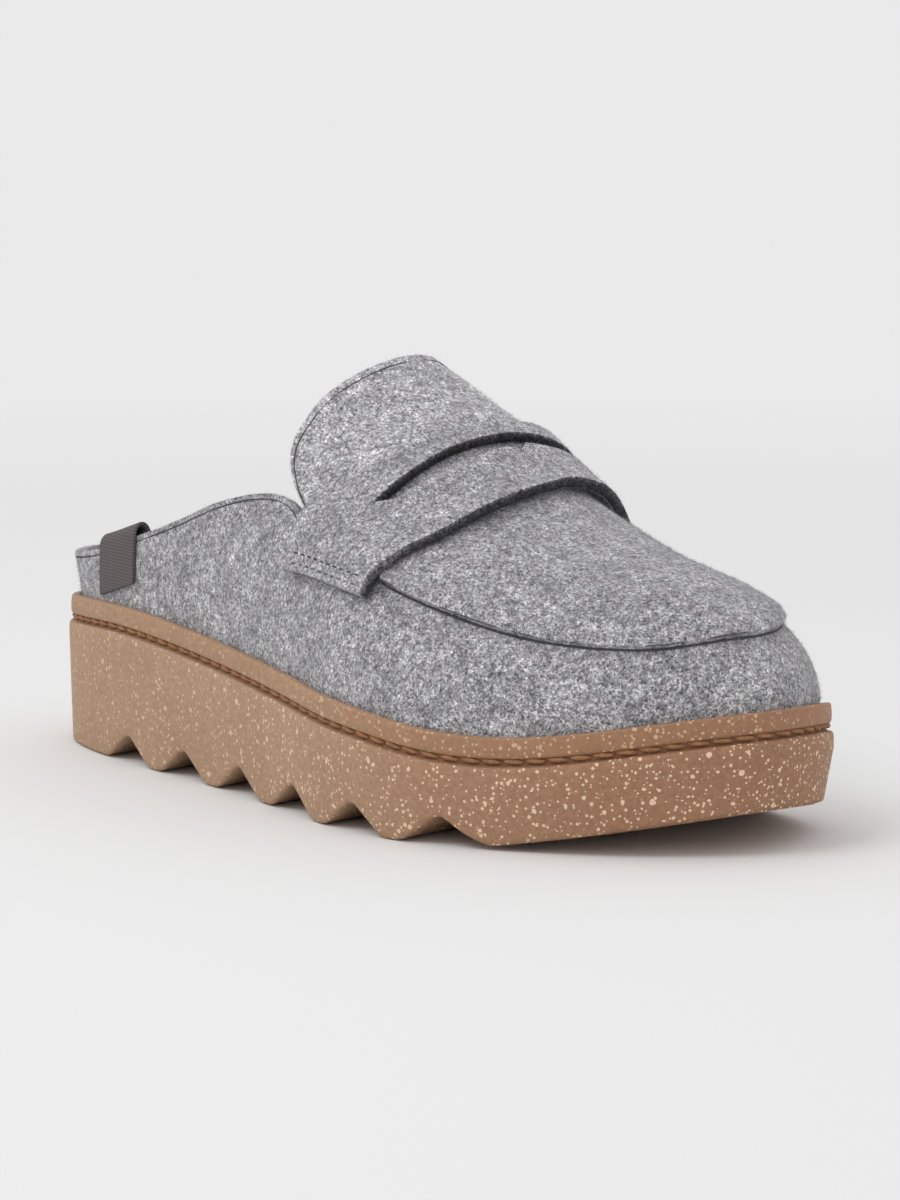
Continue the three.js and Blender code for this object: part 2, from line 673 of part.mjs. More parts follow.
// A ribbon folded over the lateral collar: up the outside, over the edge, down the inside
function makeLabel() {
  const acrossSteps = 6;
  const foldSteps = 6;
  const grid = (out) => Array.from({ length: acrossSteps + 1 }, (_, i) => {
    const at = (LABEL_FROM + (LABEL_WIDTH * i) / acrossSteps) / SOLE_LENGTH;
    const turn = turnAt(at, true);
    const top = upperTop(turn);
    const height = lastPoint(turn, top).z;
    const edge = lastOffset(turn, top, -FELT / 2);
    const sideways = lastNormal(turn, top);
    const rows = [LABEL_DROP, LABEL_DROP / 2].map((drop) => {
      return lastOffset(turn, arcAtHeight(turn, height - drop), out);
    });
    for (let k = 0; k <= foldSteps; k += 1) {
      const angle = (HALF_TURN * k) / foldSteps;
      const point = edge.clone().addScaledVector(sideways, Math.cos(angle) * (FELT / 2 + out));
      point.z += Math.sin(angle) * (LABEL_STAND + out);
      rows.push(point);
    }
    rows.push(lastOffset(turn, arcAtHeight(turn, height - LABEL_INSIDE), -FELT - out));
    return rows;
  });
  return sheet(grid(FIT + LABEL_RIBBON), grid(FIT));
}

function material(color, roughness) {
  return new THREE.MeshStandardMaterial({ color, roughness, metalness: 0 });
}

const felt = material(0x96969e, 0.95);
const rubber = material(0xb09278, 0.7);
const cork = material(0x8e8e96, 0.95);
const ribbon = material(0x5f5555, 0.8);

const slipper = new THREE.Group();

function add(name, geometry, finish) {
  const piece = new THREE.Mesh(geometry, finish);
  piece.name = name;
  slipper.add(piece);
}

add('sole', makeSole(), rubber);
add('footbed', makeFootbed(), cork);
add('upper', makeUpper(), felt);
add('apron', makeApron(), felt);
add('strap', makeStrap(), felt);
add('tongue', makeTongue(), felt);
add('label', makeLabel(), ribbon);

const middle = new THREE.Box3().setFromObject(slipper).getCenter(new THREE.Vector3());
slipper.position.set(-middle.x, -middle.y, 0);

export default slipper;
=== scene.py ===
import math

import bmesh
import bpy
import numpy as np
from mathutils import Matrix, Vector


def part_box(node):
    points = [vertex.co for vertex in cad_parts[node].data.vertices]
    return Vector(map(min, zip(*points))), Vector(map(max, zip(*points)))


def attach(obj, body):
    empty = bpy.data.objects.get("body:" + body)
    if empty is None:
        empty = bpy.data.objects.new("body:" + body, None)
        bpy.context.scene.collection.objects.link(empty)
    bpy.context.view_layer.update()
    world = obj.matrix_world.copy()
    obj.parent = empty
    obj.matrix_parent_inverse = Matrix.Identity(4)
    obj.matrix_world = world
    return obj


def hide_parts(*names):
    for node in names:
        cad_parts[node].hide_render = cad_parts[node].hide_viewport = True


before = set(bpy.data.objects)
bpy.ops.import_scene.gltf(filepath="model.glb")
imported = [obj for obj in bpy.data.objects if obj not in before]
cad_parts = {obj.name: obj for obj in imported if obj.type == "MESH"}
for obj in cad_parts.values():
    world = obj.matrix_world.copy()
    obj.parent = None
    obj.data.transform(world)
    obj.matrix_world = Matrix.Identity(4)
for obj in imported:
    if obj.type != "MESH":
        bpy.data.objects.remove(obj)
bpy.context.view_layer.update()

MM = 0.001
PI = math.pi

# Driving sizes of the slipper, in millimetres, as in the part's source
SOLE_LENGTH = 262
SOLE_WIDTH = 102
HEEL_HEIGHT = 41
INSTEP_HEIGHT = 86.5
FIT = 0.3

RIM_WALL = 2.4
RIM_BAND = 4.8
GROOVE_HEIGHT = 2.4
GROOVE_DEPTH = 1.1
SIDE_BULGE = 0.7
SIDE_FULL = 4
POCKET_DEPTH = 9
TOE_SPRING = 11
SPRING_FROM = 0.79
SPRING_POWER = 1.25
TOE_UNDERCUT = 1.6
HEEL_CORNER = 4

NOTCH_COUNT = 6
NOTCH_HEIGHT = 7.6
NOTCH_WIDTH = 22.5
NOTCH_PITCH = 29
NOTCH_FIRST = 47.5
NOTCH_SLANT = 0.17
NOTCH_TIP = 8
TOOTH_ROUND = 7
FRONT_ROUND = 29

FELT = 3.0
APRON_FELT = 2.4
TONGUE_FELT = 3.2
STRAP_FELT = 3.0
FOOTBED_THICKNESS = 5
HEEL_CUP = 2.5
HEEL_FLARE = 2.5
COLLAR_BACK = 13
STRAP_LIFT = 1.4
STRAP_LOW = 0.28
STRAP_HIGH = 0.40
STRAP_ARCH = 0.80
STRAP_TILT = 0.075

# Roundings in the scene alone
TREAD_ROUND = 1.0
RIM_ROUND = 0.8

LABEL_FROM = 34
LABEL_WIDTH = 20
LABEL_RIBBON = 0.9
LABEL_STAND = 2.6
LABEL_DROP = 12.5
LABEL_INSIDE = 7

FAN_HEEL = 0.17
FAN_TOE = 0.82
STRAIGHT_FROM = 0.38
STRAIGHT_TO = 0.57
MEDIAL_SHOULDER = 0.22
SHOULDER_FROM = 0.40
SHOULDER_TO = 0.64
THROAT_FRONT = 0.615
THROAT_END = 0.635
APRON_REAR = 0.643
TONGUE_FRONT = 0.607
TONGUE_OUT = 0.43
TONGUE_IN = 0.33

# The part's tables: station along the sole, then shares of the named sizes
OUTLINE = {
    "at": [0.00, 0.03, 0.11, 0.23, 0.38, 0.52, 0.63, 0.74, 0.84, 0.92, 0.97, 1.00],
    "lateral": [0.0, 0.186, 0.284, 0.343, 0.392, 0.461, 0.520, 0.510, 0.405, 0.275, 0.140, -0.04],
    "medial": [0.0, 0.187, 0.305, 0.324, 0.328, 0.372, 0.440, 0.476, 0.458, 0.395, 0.265, 0.040],
}
RIM = {
    "at": [0.00, 0.19, 0.42, 0.65, 0.82, 1.00],
    "height": [0.955, 1.000, 0.890, 0.744, 0.660, 0.845],
}
RIDGE = {
    "at": [0.17, 0.38, 0.46, 0.50, 0.54, 0.57, 0.61, 0.65, 0.71, 0.76, 0.82],
    "height": [1.90, 1.42, 1.228, 1.155, 1.095, 1.045, 0.975, 0.903, 0.826, 0.770, 0.728],
    "side": [0.0, 0.05, 0.09, 0.11, 0.12, 0.12, 0.11, 0.09, 0.07, 0.06, 0.04],
}
COLLAR = {
    "at": [0.0, 0.04, 0.115, 0.205, 0.28, 0.365, 0.43, 0.46, 0.48, 0.50, 0.52, 0.615],
    "lateral": [0.59, 0.592, 0.624, 0.692, 0.758, 0.844, 0.88, 0.872, 0.845, 0.79, 0.735, 0.66],
    "medial": [0.59, 0.592, 0.63, 0.70, 0.772, 0.856, 0.89, 0.878, 0.85, 0.795, 0.73, 0.65],
}
APRON_EDGE = {
    "at": [0.635, 0.70, 0.77, 0.845, 0.90, 0.95, 1.00],
    "lateral": [0.390, 0.405, 0.410, 0.390, 0.372, 0.362, 0.395],
    "medial": [0.365, 0.400, 0.435, 0.450, 0.448, 0.432, 0.395],
}
STRAP = {
    "across": [0.0, 0.08, 0.16, 0.26, 0.38, 0.50, 0.62, 0.74, 0.84, 0.92, 1.0],
    "arc": [0.28, 0.36, 0.46, 0.60, 0.80, 1.00, 0.80, 0.60, 0.46, 0.36, 0.28],
    "rear": [0.506, 0.504, 0.518, 0.552, 0.569, 0.578, 0.572, 0.552, 0.518, 0.504, 0.506],
    "front": [0.636, 0.645, 0.661, 0.682, 0.690, 0.684, 0.672, 0.657, 0.650, 0.640, 0.632],
}
SLOT = {
    "across": [0.215, 0.245, 0.310, 0.380, 0.440, 0.460, 0.480, 0.560, 0.640, 0.720, 0.750],
    "rear": [0.589, 0.591, 0.592, 0.592, 0.594, 0.595, 0.596, 0.598, 0.596, 0.590, 0.586],
    "front": [0.591, 0.608, 0.613, 0.615, 0.614, 0.622, 0.613, 0.616, 0.614, 0.605, 0.588],
}
TONGUE = {
    "across": [-1.0, -0.95, -0.88, -0.80, -0.65, -0.35, 0.0, 0.35, 0.65, 0.80, 0.88, 0.95, 1.0],
    "arc": [0.355, 0.385, 0.425, 0.475, 0.59, 0.8, 1.0, 0.8, 0.59, 0.475, 0.425, 0.385, 0.355],
    "rear": [0.530, 0.503, 0.473, 0.450, 0.445, 0.452, 0.455, 0.452, 0.444, 0.450, 0.468, 0.495, 0.525],
}


# The part's own functions, on whole arrays of turns and arcs
def curve(table, key, name):
    keys = np.array(table[key], float)
    values = np.array(table[name], float)
    last = len(keys) - 1

    def at(where):
        t = np.clip(where, keys[0], keys[-1])
        i1 = np.clip(np.searchsorted(keys, t, side="right"), 1, last)
        i0 = i1 - 1
        before = np.where(i0 > 0, i0 - 1, i1)
        after = np.where(i1 < last, i1 + 1, i0)
        t0, t1 = keys[i0], keys[i1]
        half = (t1 - t0) / 2
        w_before = half / (t0 - keys[before])
        w_after = half / (keys[after] - t1)
        p = (t - t0) / (t1 - t0)
        p2, p3 = p * p, p * p * p
        return (
            (-w_before * p3 + 2 * w_before * p2 - w_before * p) * values[before]
            + ((1 + w_before) * p3 - (1.5 + 2 * w_before) * p2 + (w_before - 0.5) * p + 1) * values[i0]
            + (-(1 + w_after) * p3 + (1.5 + w_after) * p2 + 0.5 * p) * values[i1]
            + (w_after * p3 - w_after * p2) * values[after]
        )

    return at


def turn_of(at):
    return np.arccos(np.clip(1 - 2 * np.asarray(at, float), -1, 1))


def station_of(turn):
    return (1 - np.cos(turn)) / 2


def smooth(value, low, high):
    t = np.clip((value - low) / (high - low), 0, 1)
    return t * t * (3 - 2 * t)


# Turns from heel to toe on the lateral side, and back on the medial side
def both_sides(turns):
    return np.concatenate([turns, 2 * PI - turns[1:-1][::-1]])


def closed_outline():
    loop_turns = both_sides(turn_of(OUTLINE["at"]))
    loop_widths = np.concatenate([-np.array(OUTLINE["lateral"]), np.array(OUTLINE["medial"])[1:-1][::-1]])
    keys = np.concatenate([loop_turns[-3:] - 2 * PI, loop_turns, loop_turns[:3] + 2 * PI])
    widths = np.concatenate([loop_widths[-3:], loop_widths, loop_widths[:3]])
    return curve({"turn": keys, "width": widths}, "turn", "width")


outline_share = closed_outline()
rim_share = curve(RIM, "at", "height")
ridge_height = curve(RIDGE, "at", "height")
ridge_side = curve(RIDGE, "at", "side")
collar_lateral = curve(COLLAR, "at", "lateral")
collar_medial = curve(COLLAR, "at", "medial")
apron_lateral = curve(APRON_EDGE, "at", "lateral")
apron_medial = curve(APRON_EDGE, "at", "medial")
strap_arc = curve(STRAP, "across", "arc")
strap_rear = curve(STRAP, "across", "rear")
strap_front = curve(STRAP, "across", "front")
tongue_arc = curve(TONGUE, "across", "arc")
tongue_rear = curve(TONGUE, "across", "rear")


def rim_height(x):
    return HEEL_HEIGHT * rim_share(x / SOLE_LENGTH)


def outline_inset(turn, inset):
    step = 0.01

    def plan(value):
        wrapped = np.mod(value, 2 * PI)
        return np.stack([SOLE_LENGTH * station_of(wrapped), SOLE_WIDTH * outline_share(wrapped)], -1)

    along = plan(turn + step) - plan(turn - step)
    along /= np.linalg.norm(along, axis=-1, keepdims=True)
    inward = np.stack([-along[..., 1], along[..., 0]], -1)
    return plan(turn) + inward * np.asarray(inset, float)[..., None]


def ridge_station(at):
    quarter = PI / 2
    back = (STRAIGHT_FROM - at) / STRAIGHT_FROM
    front = (at - STRAIGHT_TO) / (1 - STRAIGHT_TO)
    heel = STRAIGHT_FROM - (STRAIGHT_FROM - FAN_HEEL) * np.sin(quarter * np.clip(back, 0, 1))
    toe = STRAIGHT_TO + (FAN_TOE - STRAIGHT_TO) * np.sin(quarter * np.clip(front, 0, 1))
    return np.where(at < STRAIGHT_FROM, heel, np.where(at > STRAIGHT_TO, toe, at))


def ridge_slope(at):
    step = 0.005
    rise = ridge_height(at + step) - ridge_height(at - step)
    return INSTEP_HEIGHT * rise / (2 * step * SOLE_LENGTH)


def is_lateral(turn):
    return np.mod(turn, 2 * PI) < PI


def section_power(turn):
    at = station_of(turn)
    rise = smooth(at, SHOULDER_FROM, SHOULDER_FROM + 0.1)
    under = rise * (1 - smooth(at, SHOULDER_TO - 0.1, SHOULDER_TO))
    return np.where(is_lateral(turn), 1.0, 1 - MEDIAL_SHOULDER * under)


def last_point(turn, arc):
    turn, arc = np.broadcast_arrays(np.asarray(turn, float), np.asarray(arc, float))
    foot = outline_inset(turn, RIM_WALL + FIT)
    outward = outline_inset(turn, -1) - outline_inset(turn, 0)
    rim = rim_height(foot[..., 0])
    station = station_of(turn)
    at = ridge_station(station)
    ridge_x, ridge_y = SOLE_LENGTH * at, SOLE_WIDTH * ridge_side(at)
    ridge_z = INSTEP_HEIGHT * ridge_height(at)
    power = section_power(turn)
    angle = np.clip(arc, 0, 1) * PI / 2
    reach = np.maximum(np.cos(angle), 0) ** power
    x = ridge_x + (foot[..., 0] - ridge_x) * reach
    y = ridge_y + (foot[..., 1] - ridge_y) * reach
    lean = ridge_slope(at) * (foot[..., 0] - ridge_x) * reach * (1 - reach) ** 2
    z = rim + (ridge_z - rim) * np.maximum(np.sin(angle), 0) ** power
    z = z + np.where(station < STRAIGHT_FROM, 0, lean)
    back = 1 - smooth(foot[..., 0], 0, 0.16 * SOLE_LENGTH)
    flare = HEEL_FLARE * back * np.minimum((z - rim) / COLLAR_BACK, 1.5)
    x = x + outward[..., 0] * flare
    y = y + outward[..., 1] * flare
    above = np.stack([x, y, z], -1)
    below = np.stack([foot[..., 0], foot[..., 1], rim + np.minimum(arc, 0)], -1)
    return np.where((arc <= 0)[..., None], below, above)


def last_normal(turn, arc):
    turn, arc = np.broadcast_arrays(np.asarray(turn, float), np.asarray(arc, float))
    step = 0.01
    around = last_point(turn + step, arc) - last_point(turn - step, arc)
    low = np.where(arc <= 0, -1, np.maximum(arc - step, 0))
    high = np.where(arc <= 0, 0, np.minimum(arc + step, 1))
    upward = last_point(turn, high) - last_point(turn, low)
    normal = np.cross(around, upward)
    slope = ridge_slope(ridge_station(station_of(turn)))
    top = np.stack([-slope, np.zeros_like(slope), np.ones_like(slope)], -1)
    normal = np.where((arc >= 1)[..., None], top, normal)
    return normal / np.linalg.norm(normal, axis=-1, keepdims=True)


def last_offset(turn, arc, out):
    return last_point(turn, arc) + last_normal(turn, arc) * np.asarray(out, float)[..., None]


def arc_at_height(turn, height):
    foot = outline_inset(turn, RIM_WALL + FIT)
    rim = rim_height(foot[..., 0])
    top = INSTEP_HEIGHT * ridge_height(ridge_station(station_of(turn)))
    share = np.clip((height - rim) / (top - rim), 0.01, 0.99)
    return np.arcsin(share ** (1 / section_power(turn))) * 2 / PI


def turn_at(at, lateral):
    turn = turn_of(at)
    return np.where(lateral, turn, 2 * PI - turn)


def collar_height(turn):
    at = station_of(turn)
    share = np.where(is_lateral(turn), collar_lateral(at), collar_medial(at))
    return INSTEP_HEIGHT * share


def upper_top(turn):
    at = station_of(turn)
    open_top = arc_at_height(turn, collar_height(turn))
    closing = np.clip((at - THROAT_FRONT) / (THROAT_END - THROAT_FRONT), 0, 1)
    return open_top + (1 - open_top) * closing


def bottom_height(x):
    spring_from = SPRING_FROM * SOLE_LENGTH
    sprung = np.clip((x - spring_from) / (SOLE_LENGTH - spring_from), 0, None)
    corner = HEEL_CORNER - np.clip(x, 0, HEEL_CORNER)
    return TOE_SPRING * sprung**SPRING_POWER + HEEL_CORNER - np.sqrt(HEEL_CORNER**2 - corner**2)


def notch_profile(front_round):
    half = NOTCH_WIDTH / 2
    slope = math.atan2(NOTCH_HEIGHT, half)
    wall = half / math.cos(slope)
    t = np.linspace(0, 1, 9)[:, None]

    def on_wall(run):
        return -half + run * math.cos(slope), run * math.sin(slope)

    def bend(a, b, c):
        return (1 - t) ** 2 * np.array(a) + 2 * t * (1 - t) * np.array(b) + t**2 * np.array(c)

    def mouth(radius):
        run = radius * math.tan(slope / 2)
        return bend((-half - run, 0), (-half, 0), on_wall(run))

    shoulder = on_wall(wall - NOTCH_TIP * math.tan(slope / 2))
    peak = bend(shoulder, (0, NOTCH_HEIGHT), (-shoulder[0], shoulder[1]))
    return np.concatenate([mouth(TOOTH_ROUND), peak, mouth(front_round)[::-1] * (-1, 1)])


def tread_height(x, y):
    height = bottom_height(x)
    for index in range(NOTCH_COUNT):
        notch = notch_profile(FRONT_ROUND if index == NOTCH_COUNT - 1 else TOOTH_ROUND)
        across = x - (NOTCH_FIRST + NOTCH_PITCH * index) + NOTCH_SLANT * y
        height = np.maximum(height, np.interp(across, notch[:, 0], notch[:, 1], left=0, right=0))
    return height


# Where the back of the slipper's heel stands in the shared frame
def find_origin():
    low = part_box("sole")[0]
    turns = np.linspace(0, PI, 400)
    widest = outline_inset(turns, -SIDE_BULGE)
    return np.array([low.x / MM - widest[:, 0].min(), low.y / MM - widest[:, 1].min(), 0])


ORIGIN = find_origin()


def to_frame(points):
    return (np.asarray(points, float) + ORIGIN) * MM


# Mesh helpers
def shade_smooth(mesh):
    for polygon in mesh.polygons:
        polygon.use_smooth = True


def add_mesh(name, points, faces, replaced=()):
    mesh = bpy.data.meshes.new(name)
    mesh.from_pydata(to_frame(points).tolist(), [], faces)
    mesh.validate()
    obj = bpy.data.objects.new(name, mesh)
    bpy.context.scene.collection.objects.link(obj)
    shade_smooth(mesh)
    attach(obj, "root")
    if replaced:
        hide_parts(*replaced)
    return obj


def weld(obj, distance=0.02 * MM):
    bm = bmesh.new()
    bm.from_mesh(obj.data)
    bmesh.ops.remove_doubles(bm, verts=bm.verts, dist=distance)
    bmesh.ops.dissolve_degenerate(bm, edges=bm.edges, dist=distance / 4)
    bmesh.ops.recalc_face_normals(bm, faces=bm.faces)
    bm.to_mesh(obj.data)
    bm.free()
    shade_smooth(obj.data)


def soften(obj, width, segments=3, angle=50):
    bevel = obj.modifiers.new("rounded", "BEVEL")
    bevel.width = width * MM
    bevel.segments = segments
    bevel.limit_method = "ANGLE"
    bevel.angle_limit = math.radians(angle)
    bevel.harden_normals = False


def swell(obj, strength, size):
    texture = bpy.data.textures.new(obj.name + "_swell", "CLOUDS")
    texture.noise_scale = size * MM
    texture.noise_depth = 1
    displace = obj.modifiers.new("uneven", "DISPLACE")
    displace.texture = texture
    displace.texture_coords = "GLOBAL"
    displace.strength = strength * MM
    displace.mid_level = 0.5


# Faces of a grid of points, with an offset into the list of vertices
def grid_faces(columns, rows, start=0, ring=False, flip=False):
    faces = []
    for i in range(columns if ring else columns - 1):
        for j in range(rows - 1):
            a = start + i * rows + j
            b = start + ((i + 1) % columns) * rows + j
            face = (a, b, b + 1, a + 1)
            faces.append(face[::-1] if flip else face)
    return faces


# A felt sheet with a thickness, from grids of its outer and inner points
def sheet(name, outer, inner, replaced, ring=False, closed_top=None):
    columns, rows = outer.shape[:2]
    count = columns * rows
    faces = grid_faces(columns, rows, 0, ring) + grid_faces(columns, rows, count, ring, flip=True)
    for i in range(columns if ring else columns - 1):
        n = (i + 1) % columns
        a, b = i * rows, n * rows
        faces.append((count + a, count + b, b, a))
        if closed_top is None or not (closed_top[i] and closed_top[n]):
            t = rows - 1
            faces.append((a + t, b + t, count + b + t, count + a + t))
    if not ring:
        for j in range(rows - 1):
            end = (columns - 1) * rows
            faces.append((count + j, j, j + 1, count + j + 1))
            faces.append((end + j, count + end + j, count + end + j + 1, end + j + 1))
    points = np.concatenate([outer.reshape(-1, 3), inner.reshape(-1, 3)])
    obj = add_mesh(name, points, faces, replaced)
    weld(obj)
    return obj


# Materials
def new_material(name):
    mat = bpy.data.materials.new(name)
    mat.use_nodes = True
    nodes, links = mat.node_tree.nodes, mat.node_tree.links
    place = nodes.new("ShaderNodeTexCoord").outputs["Object"]
    return mat, nodes, links, nodes["Principled BSDF"], place


def set_surface(links, shader, color, roughness, specular, normal=None):
    links.new(color, shader.inputs["Base Color"])
    shader.inputs["Roughness"].default_value = roughness
    shader.inputs["Specular IOR Level"].default_value = specular
    if normal is not None:
        links.new(normal, shader.inputs["Normal"])


def noise(nodes, links, source, scale, detail=2.0, rough=0.5):
    node = nodes.new("ShaderNodeTexNoise")
    node.inputs["Scale"].default_value = scale
    node.inputs["Detail"].default_value = detail
    node.inputs["Roughness"].default_value = rough
    links.new(source, node.inputs["Vector"])
    return node


def ramp(nodes, links, source, stops):
    node = nodes.new("ShaderNodeValToRGB")
    element = node.color_ramp.elements
    while len(element) < len(stops):
        element.new(0.5)
    for spot, (where, color) in zip(element, stops):
        spot.position = where
        spot.color = (*color, 1) if len(color) == 3 else color
    links.new(source, node.inputs["Fac"])
    return node.outputs["Color"]


def mix_color(nodes, links, mode, factor, a, b):
    node = nodes.new("ShaderNodeMix")
    node.data_type = "RGBA"
    node.blend_type = mode
    if isinstance(factor, (int, float)):
        node.inputs["Factor"].default_value = factor
    else:
        links.new(factor, node.inputs["Factor"])
    for socket, value in ((node.inputs["A"], a), (node.inputs["B"], b)):
        target = [s for s in node.inputs if s.name == socket.name and s.type == "RGBA"][0]
        if isinstance(value, tuple):
            target.default_value = (*value, 1)
        else:
            links.new(value, target)
    return [s for s in node.outputs if s.type == "RGBA"][0]


def math_node(nodes, links, operation, a, b=None):
    node = nodes.new("ShaderNodeMath")
    node.operation = operation
    for socket, value in zip(node.inputs, (a, b)):
        if value is None:
            continue
        if isinstance(value, (int, float)):
            socket.default_value = value
        else:
            links.new(value, socket)
    return node.outputs[0]


def bump(nodes, links, height, distance, strength, normal=None):
    node = nodes.new("ShaderNodeBump")
    node.inputs["Strength"].default_value = strength
    node.inputs["Distance"].default_value = distance
    links.new(height, node.inputs["Height"])
    if normal is not None:
        links.new(normal, node.inputs["Normal"])
    return node.outputs["Normal"]


# Mottled wool felt: fine pale and dark fibres in clumps, soft blotches, a trace of blue and pink
def felt_color(nodes, links, place, shade):
    fibres = noise(nodes, links, place, 1500, detail=3, rough=0.68)
    fibres.inputs["Distortion"].default_value = 0.9
    clumps = noise(nodes, links, place, 520, detail=2, rough=0.6)
    patches = noise(nodes, links, place, 130, detail=2, rough=0.5)
    blotch = noise(nodes, links, place, 45, detail=2, rough=0.5)
    hue = noise(nodes, links, place, 190, detail=1, rough=0.5)
    fine = [(0.36, (0.085,) * 3), (0.5, (0.33,) * 3), (0.64, (0.76,) * 3)]
    base = ramp(nodes, links, fibres.outputs["Fac"], fine)
    for source, low, high in ((clumps, 0.66, 1.28), (patches, 0.84, 1.13), (blotch, 0.93, 1.07)):
        tone = ramp(nodes, links, source.outputs["Fac"], [(0.34, (low,) * 3), (0.66, (high,) * 3)])
        base = mix_color(nodes, links, "MULTIPLY", 1.0, base, tone)
    stops = [(0.35, (0.985, 0.98, 1.045)), (0.5, (1.0, 0.98, 1.02)), (0.65, (1.03, 0.975, 1.02))]
    tint = ramp(nodes, links, hue.outputs["Fac"], [(s, tuple(shade * v for v in c)) for s, c in stops])
    return mix_color(nodes, links, "MULTIPLY", 1.0, base, tint), fibres, clumps


def felt_material(name, shade=1.0):
    mat, nodes, links, shader, place = new_material(name)
    base, fibres, clumps = felt_color(nodes, links, place, shade)
    shader.inputs["Sheen Weight"].default_value = 0.25
    shader.inputs["Sheen Roughness"].default_value = 0.6
    rough = bump(nodes, links, clumps.outputs["Fac"], 0.0007, 0.6)
    relief = bump(nodes, links, fibres.outputs["Fac"], 0.0004, 0.6, rough)
    set_surface(links, shader, base, 0.95, 0.15, relief)
    return mat


# The strap's raw felt edge: partly its own darker felt, partly painted shade, darkest at its underside
# where the gap beneath lies in shadow, paler at the sewn ends
def cut_felt_shade_material():
    mat, nodes, links, shader, place = new_material("felt_cut_edge_shaded")
    base = felt_color(nodes, links, place, 1.0)[0]
    zone = nodes.new("ShaderNodeAttribute")
    zone.attribute_name = "edge_shade"
    split = nodes.new("ShaderNodeSeparateColor")
    links.new(zone.outputs["Color"], split.inputs["Color"])
    # Painted shade from the top of the edge to its underside, in the strap's middle and at its ends
    middle_shade_stops = [(0.0, (0.5,) * 3), (0.35, (0.24,) * 3), (1.0, (0.1,) * 3)]
    end_shade_stops = [(0.0, (0.85,) * 3), (0.5, (0.52,) * 3), (1.0, (0.2,) * 3)]
    middle = ramp(nodes, links, split.outputs["Red"], middle_shade_stops)
    ends = ramp(nodes, links, split.outputs["Red"], end_shade_stops)
    shade = mix_color(nodes, links, "MIX", split.outputs["Green"], middle, ends)
    set_surface(links, shader, mix_color(nodes, links, "MULTIPLY", 1.0, base, shade), 1.0, 0.05)
    return mat


# Loose fibres on the felt, in two greys
def fuzz_material(name, color):
    mat, nodes, links, shader, place = new_material(name)
    spread = noise(nodes, links, place, 600, detail=1)
    stops = [(0.35, tuple(0.55 * v for v in color)), (0.65, tuple(1.35 * v for v in color))]
    set_surface(links, shader, ramp(nodes, links, spread.outputs["Fac"], stops), 1.0, 0.1)
    return mat


# Cream specks: cells of a Voronoi pattern, each with its own size, only some of them filled
def speck_layer(nodes, links, place, scale, radius, filled):
    cells = nodes.new("ShaderNodeTexVoronoi")
    cells.inputs["Scale"].default_value = scale
    cells.inputs["Randomness"].default_value = 1.0
    wobble = noise(nodes, links, place, scale * 3.1, detail=1)
    shift = nodes.new("ShaderNodeVectorMath")
    shift.operation = "SCALE"
    links.new(wobble.outputs["Color"], shift.inputs[0])
    shift.inputs["Scale"].default_value = 0.25 / scale
    moved = nodes.new("ShaderNodeVectorMath")
    moved.operation = "ADD"
    links.new(place, moved.inputs[0])
    links.new(shift.outputs[0], moved.inputs[1])
    links.new(moved.outputs[0], cells.inputs["Vector"])
    split = nodes.new("ShaderNodeSeparateColor")
    links.new(cells.outputs["Color"], split.inputs["Color"])
    size = math_node(nodes, links, "MULTIPLY", split.outputs["Red"], radius)
    size = math_node(nodes, links, "ADD", size, radius * 0.25)
    inside = math_node(nodes, links, "LESS_THAN", cells.outputs["Distance"], size)
    kept = math_node(nodes, links, "LESS_THAN", split.outputs["Green"], filled)
    return math_node(nodes, links, "MULTIPLY", inside, kept)


# Cells a metre, greatest share of a cell, and share of the cells filled at heel and at toe
SPECK_LAYERS = ((300, 0.21, 0.10, 0.40), (520, 0.25, 0.22, 0.55), (980, 0.33, 0.34, 0.60))
